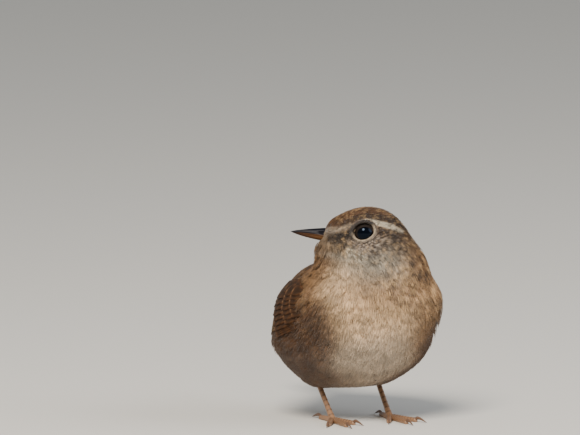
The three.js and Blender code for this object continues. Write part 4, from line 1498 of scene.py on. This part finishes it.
def add_tube(name, rings, tone, replaces, material):
    """One closed tube with a colour for each of its points, unwrapped by ring and spot."""
    points = tube_points(rings[None])
    faces = outward_faces(points, tube_faces(1, *rings.shape[:2]))
    colour = tube_values(tone[None])
    count, around = rings.shape[:2]
    ring, spot = np.meshgrid(np.arange(count), np.arange(around), indexing="ij")
    grid = np.stack((spot / around, ring / (count - 1)), -1)
    uv = wrapped_uv(tube_values(grid[None].astype(float)), faces)
    add_piece(name, points, faces, uv, ("tint", colour), replaces, material)


class WREN_OT_bill(bpy.types.Operator):
    """Upper and lower half of the bill"""

    bl_idname = "wren.bill"
    bl_label = "Bill"

    def execute(self, context):
        colours = context.scene.wren.colours
        material = horn("bill_keratin", 0.36, 0.0, 0.08)
        dark, pale = np.array(colours.bill_dark), np.array(colours.bill_pale)
        rings, share, lean = bill_half(True)
        tone = blend(blend(pale, dark, smooth(0.02, 0.3, lean)), dark, smooth(0.75, 1, share))
        add_tube("bill_upper", rings, tone, ("bill_upper",), material)
        rings, share, lean = bill_half(False)
        tone = blend(blend(pale, dark, 0.75 * smooth(0.35, 0.95, share)), dark, 0.3 * lean)
        add_tube("bill_lower", rings, tone, ("bill_lower",), material)
        return {"FINISHED"}


class WREN_OT_eyes(bpy.types.Operator):
    """Eyes, lids and the ring of small pale feathers"""

    bl_idname = "wren.eyes"
    bl_label = "Eyes"

    def execute(self, context):
        colours = context.scene.wren.colours
        # A wet clear cornea over a nearly black iris: hard gloss with one small highlight
        wet, tree, shader = new_material(
            "wet_cornea_over_iris",
            {
                "Roughness": 0.03,
                "IOR": 1.376,
                "Specular IOR Level": 0.25,
                "Specular Tint": (0.5, 0.7, 1.0, 1.0),
            },
        )
        tone = node(tree, "ShaderNodeAttribute", {"attribute_name": "tint"})
        tree.links.new(tone.outputs["Color"], shader.inputs["Base Color"])
        skin = horn("lid_skin", 0.65, 0.0, 0.1)
        soft = feather_down()
        pupil, iris = np.array(colours.pupil), np.array(colours.iris)
        for letter in "LR":
            rings, polar = eye_rings(letter)
            # the faint blue of pupil and iris is painted reflection of the sky
            colour = blend(pupil, iris, smooth(0.36, 0.42, polar) * smooth(0.8, 0.66, polar))
            add_tube(f"eye_{letter}", rings, colour, (f"eye_{letter}",), wet)
            self.add_ring(letter, soft)
            self.add_lids(letter, skin)
        return {"FINISHED"}

    def add_ring(self, letter, material):
        """Short feathers round the lids: dark in front and above, pale below and behind."""
        colours = bpy.context.scene.wren.colours
        rng = np.random.default_rng(17)
        points, out, lie, turn, row = eye_ring_roots(letter)
        count, barbs = len(points), 7
        even = np.ones(count)
        raised = proud_side(turn)
        length = (0.7 + 0.4 * raised) * rng.uniform(0.8, 1.2, count)
        depth = 0.2 - 0.6 * raised * (1 - 0.25 * row)
        rise = 0.12 + 0.15 * raised
        fans, place = barb_fan(
            rng, barbs, points, out, lie, length, 0.55 * length, depth, rise, 0.09 * even, 0.2 * even
        )
        below = smooth(0.45, -0.35, np.sin(turn) + 0.35 * np.cos(turn))
        behind = 0.8 * smooth(-0.55, -0.95, np.cos(turn))
        paleness = np.maximum(below, behind) * np.array((0.9, 0.25, 0.08))[row]
        around = blend(np.array(colours.lore), markings(points), 0.45 * row)
        tone = blend(around, np.array(colours.eye_ring), paleness)
        tone = tone * rng.uniform(0.65, 1.15, count)[:, None]
        tone = np.broadcast_to(tone[:, None, None], fans.shape)
        home = np.stack((turn / (2 * math.pi), (row + 1) / (RING_ROWS + 1)), -1)[:, None, None]
        uv = 0.98 * home + 0.01 + PATCH * place[..., ::-1]
        add_piece(
            f"eye_ring_{letter}",
            fans.reshape(-1, 3),
            barb_faces(count * barbs),
            uv.reshape(-1, 2),
            ("tint", tone.reshape(-1, 3)),
            ("head",),
            material,
        )

    def add_lids(self, letter, material):
        """The rim of the lids, closed both ways."""
        lids = lid_rings(letter)
        rings, around = lids.shape[:2]
        points = lids.reshape(-1, 3)
        faces = outward_faces(points, (ring_faces(rings, around),))
        ring, spot = np.meshgrid(np.arange(rings) / rings, np.arange(around) / around, indexing="ij")
        places = np.stack((ring, spot), -1).reshape(-1, 2)
        shade = np.broadcast_to(np.array(bpy.context.scene.wren.colours.lid), points.shape)
        add_piece(
            f"lids_{letter}",
            points,
            faces,
            wrapped_uv(places, faces),
            ("tint", shade),
            ("head",),
            material,
        )


class WREN_OT_legs(bpy.types.Operator):
    """Bare legs, toes and claws"""

    bl_idname = "wren.legs"
    bl_label = "Legs"

    def execute(self, context):
        colours = context.scene.wren.colours
        scaly = horn("leg_scutes", 0.45, 0.1, 0.5)
        claw = horn("claw_keratin", 0.45, 0.0, 0.2)
        leg, dark = np.array(colours.leg), np.array(colours.claw)
        for letter, side in (("L", 1), ("R", -1)):
            rings, furrow = shank_rings(side)
            shade = blend(leg, leg * FURROW_SHADE, furrow)
            foot = (f"foot_{letter}",)
            add_tube(f"tarsus_{letter}", rings, shade, (f"tarsus_{letter}",), scaly)
            for number, toe in enumerate(TOES, 1):
                rings, furrow = toe_rings(side, toe)
                shade = blend(leg, leg * FURROW_SHADE, furrow)
                add_tube(f"toe_{letter}{number}", rings, shade, foot, scaly)
                rings = claw_rings(side, toe)
                shade = np.broadcast_to(dark, rings.shape)
                add_tube(f"claw_{letter}{number}", rings, shade, foot, claw)
        return {"FINISHED"}


FLOOR_HALF = 20.0  # metres
SKY_STRENGTH = 0.55
FILL_SHARE = 0.22  # of the key light's power


class WREN_OT_stage(bpy.types.Operator):
    """Pale floor, soft lights and the camera"""

    bl_idname = "wren.stage"
    bl_label = "Stage"

    def execute(self, context):
        settings = context.scene.wren.stage
        # Board under matt paint: pale, even and without gloss
        material, _, _ = new_material(
            "matt_painted_board", {"Base Color": rgba(settings.floor), "Roughness": 0.9}
        )
        mesh = bpy.data.meshes.new("floor")
        half = FLOOR_HALF
        corners = [(-half, -half, 0), (half, -half, 0), (half, half, 0), (-half, half, 0)]
        mesh.from_pydata(corners, [], [(0, 1, 2, 3)])
        mesh.materials.append(material)
        floor = bpy.data.objects.new("floor", mesh)
        context.scene.collection.objects.link(floor)
        world = bpy.data.worlds.new("studio")
        context.scene.world = world
        world.use_nodes = True
        sky = world.node_tree.nodes["Background"].inputs
        sky["Color"].default_value = rgba(linear("#d9dde0"))
        sky["Strength"].default_value = SKY_STRENGTH
        self.add_light("key", (-0.55, -0.75, 0.95), 0.55, settings.key_power, "#fff6ea")
        self.add_light("fill", (0.8, -0.5, 0.5), 0.8, settings.key_power * FILL_SHARE, "#eef4ff")
        self.add_camera(context)
        return {"FINISHED"}

    def add_light(self, name, place, width, power, colour):
        """A round soft light aimed at the bird's middle."""
        light = bpy.data.lights.new(name, "AREA")
        light.shape = "DISK"
        light.size = width
        light.energy = power
        light.color = [float(part) for part in linear(colour)]
        lamp = bpy.data.objects.new(name, light)
        lamp.location = place
        aim = Vector((0, 0, 0.03)) - Vector(place)
        lamp.rotation_mode = "QUATERNION"
        lamp.rotation_quaternion = aim.to_track_quat("-Z", "Y")
        bpy.context.scene.collection.objects.link(lamp)

    def add_camera(self, context):
        """A camera at the photo's angle, with the head at the same place in the frame."""
        azimuth, elevation, distance = math.radians(-22), math.radians(6), 2.0
        image_width, image_height, pixels_per_mm = 580, 435, 3.8
        head_pixel = (367, 232)
        ca, sa, ce, se = (
            math.cos(azimuth),
            math.sin(azimuth),
            math.cos(elevation),
            math.sin(elevation),
        )
        right = np.array((ca, sa, 0))
        up = np.array((-sa * se, ca * se, ce))
        back = np.array((sa * ce, -ca * ce, se))
        target = HEAD_CENTRE + SHIFT
        target = target + right * (image_width / 2 - head_pixel[0]) / pixels_per_mm
        target = target + up * (head_pixel[1] - image_height / 2) / pixels_per_mm
        data = bpy.data.cameras.new("camera")
        data.sensor_fit = "HORIZONTAL"
        data.sensor_width = 36
        data.lens = 36 * distance / (image_width / pixels_per_mm * MM)
        data.clip_start, data.clip_end = 0.1, 100
        camera = bpy.data.objects.new("camera", data)
        camera.location = target * MM + back * distance
        camera.rotation_mode = "QUATERNION"
        camera.rotation_quaternion = (-Vector(back)).to_track_quat("-Z", "Y")
        context.scene.collection.objects.link(camera)
        context.scene.camera = camera


PIECES = ("stage", "skin", "coat", "wings", "tail", "bill", "eyes", "legs")


class WREN_PT_sidebar(bpy.types.Panel):
    """The wren's pieces, sizes and colours"""

    bl_idname = "WREN_PT_sidebar"
    bl_label = "Museum wren"
    bl_space_type = "VIEW_3D"
    bl_region_type = "UI"
    bl_category = "Wren"

    def draw(self, context):
        for piece in PIECES:
            self.layout.operator(f"wren.{piece}")
        settings = context.scene.wren
        for group in (settings.coat, settings.colours, settings.stage):
            box = self.layout.box()
            for label in type(group).__annotations__:
                box.prop(group, label)


CLASSES = (
    CoatSizes,
    PlumageColours,
    StageSettings,
    WrenSettings,
    WREN_OT_skin,
    WREN_OT_coat,
    WREN_OT_wings,
    WREN_OT_tail,
    WREN_OT_bill,
    WREN_OT_eyes,
    WREN_OT_legs,
    WREN_OT_stage,
    WREN_PT_sidebar,
)


def register():
    """Registers every class and gives the scene its settings."""
    for each in CLASSES:
        bpy.utils.register_class(each)
    bpy.types.Scene.wren = bpy.props.PointerProperty(type=WrenSettings)


def unregister():
    """Takes away what register added."""
    del bpy.types.Scene.wren
    for each in reversed(CLASSES):
        bpy.utils.unregister_class(each)


def main():
    """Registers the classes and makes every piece."""
    register()
    for piece in PIECES:
        getattr(bpy.ops.wren, piece)()


if __name__ == "__main__":
    main()
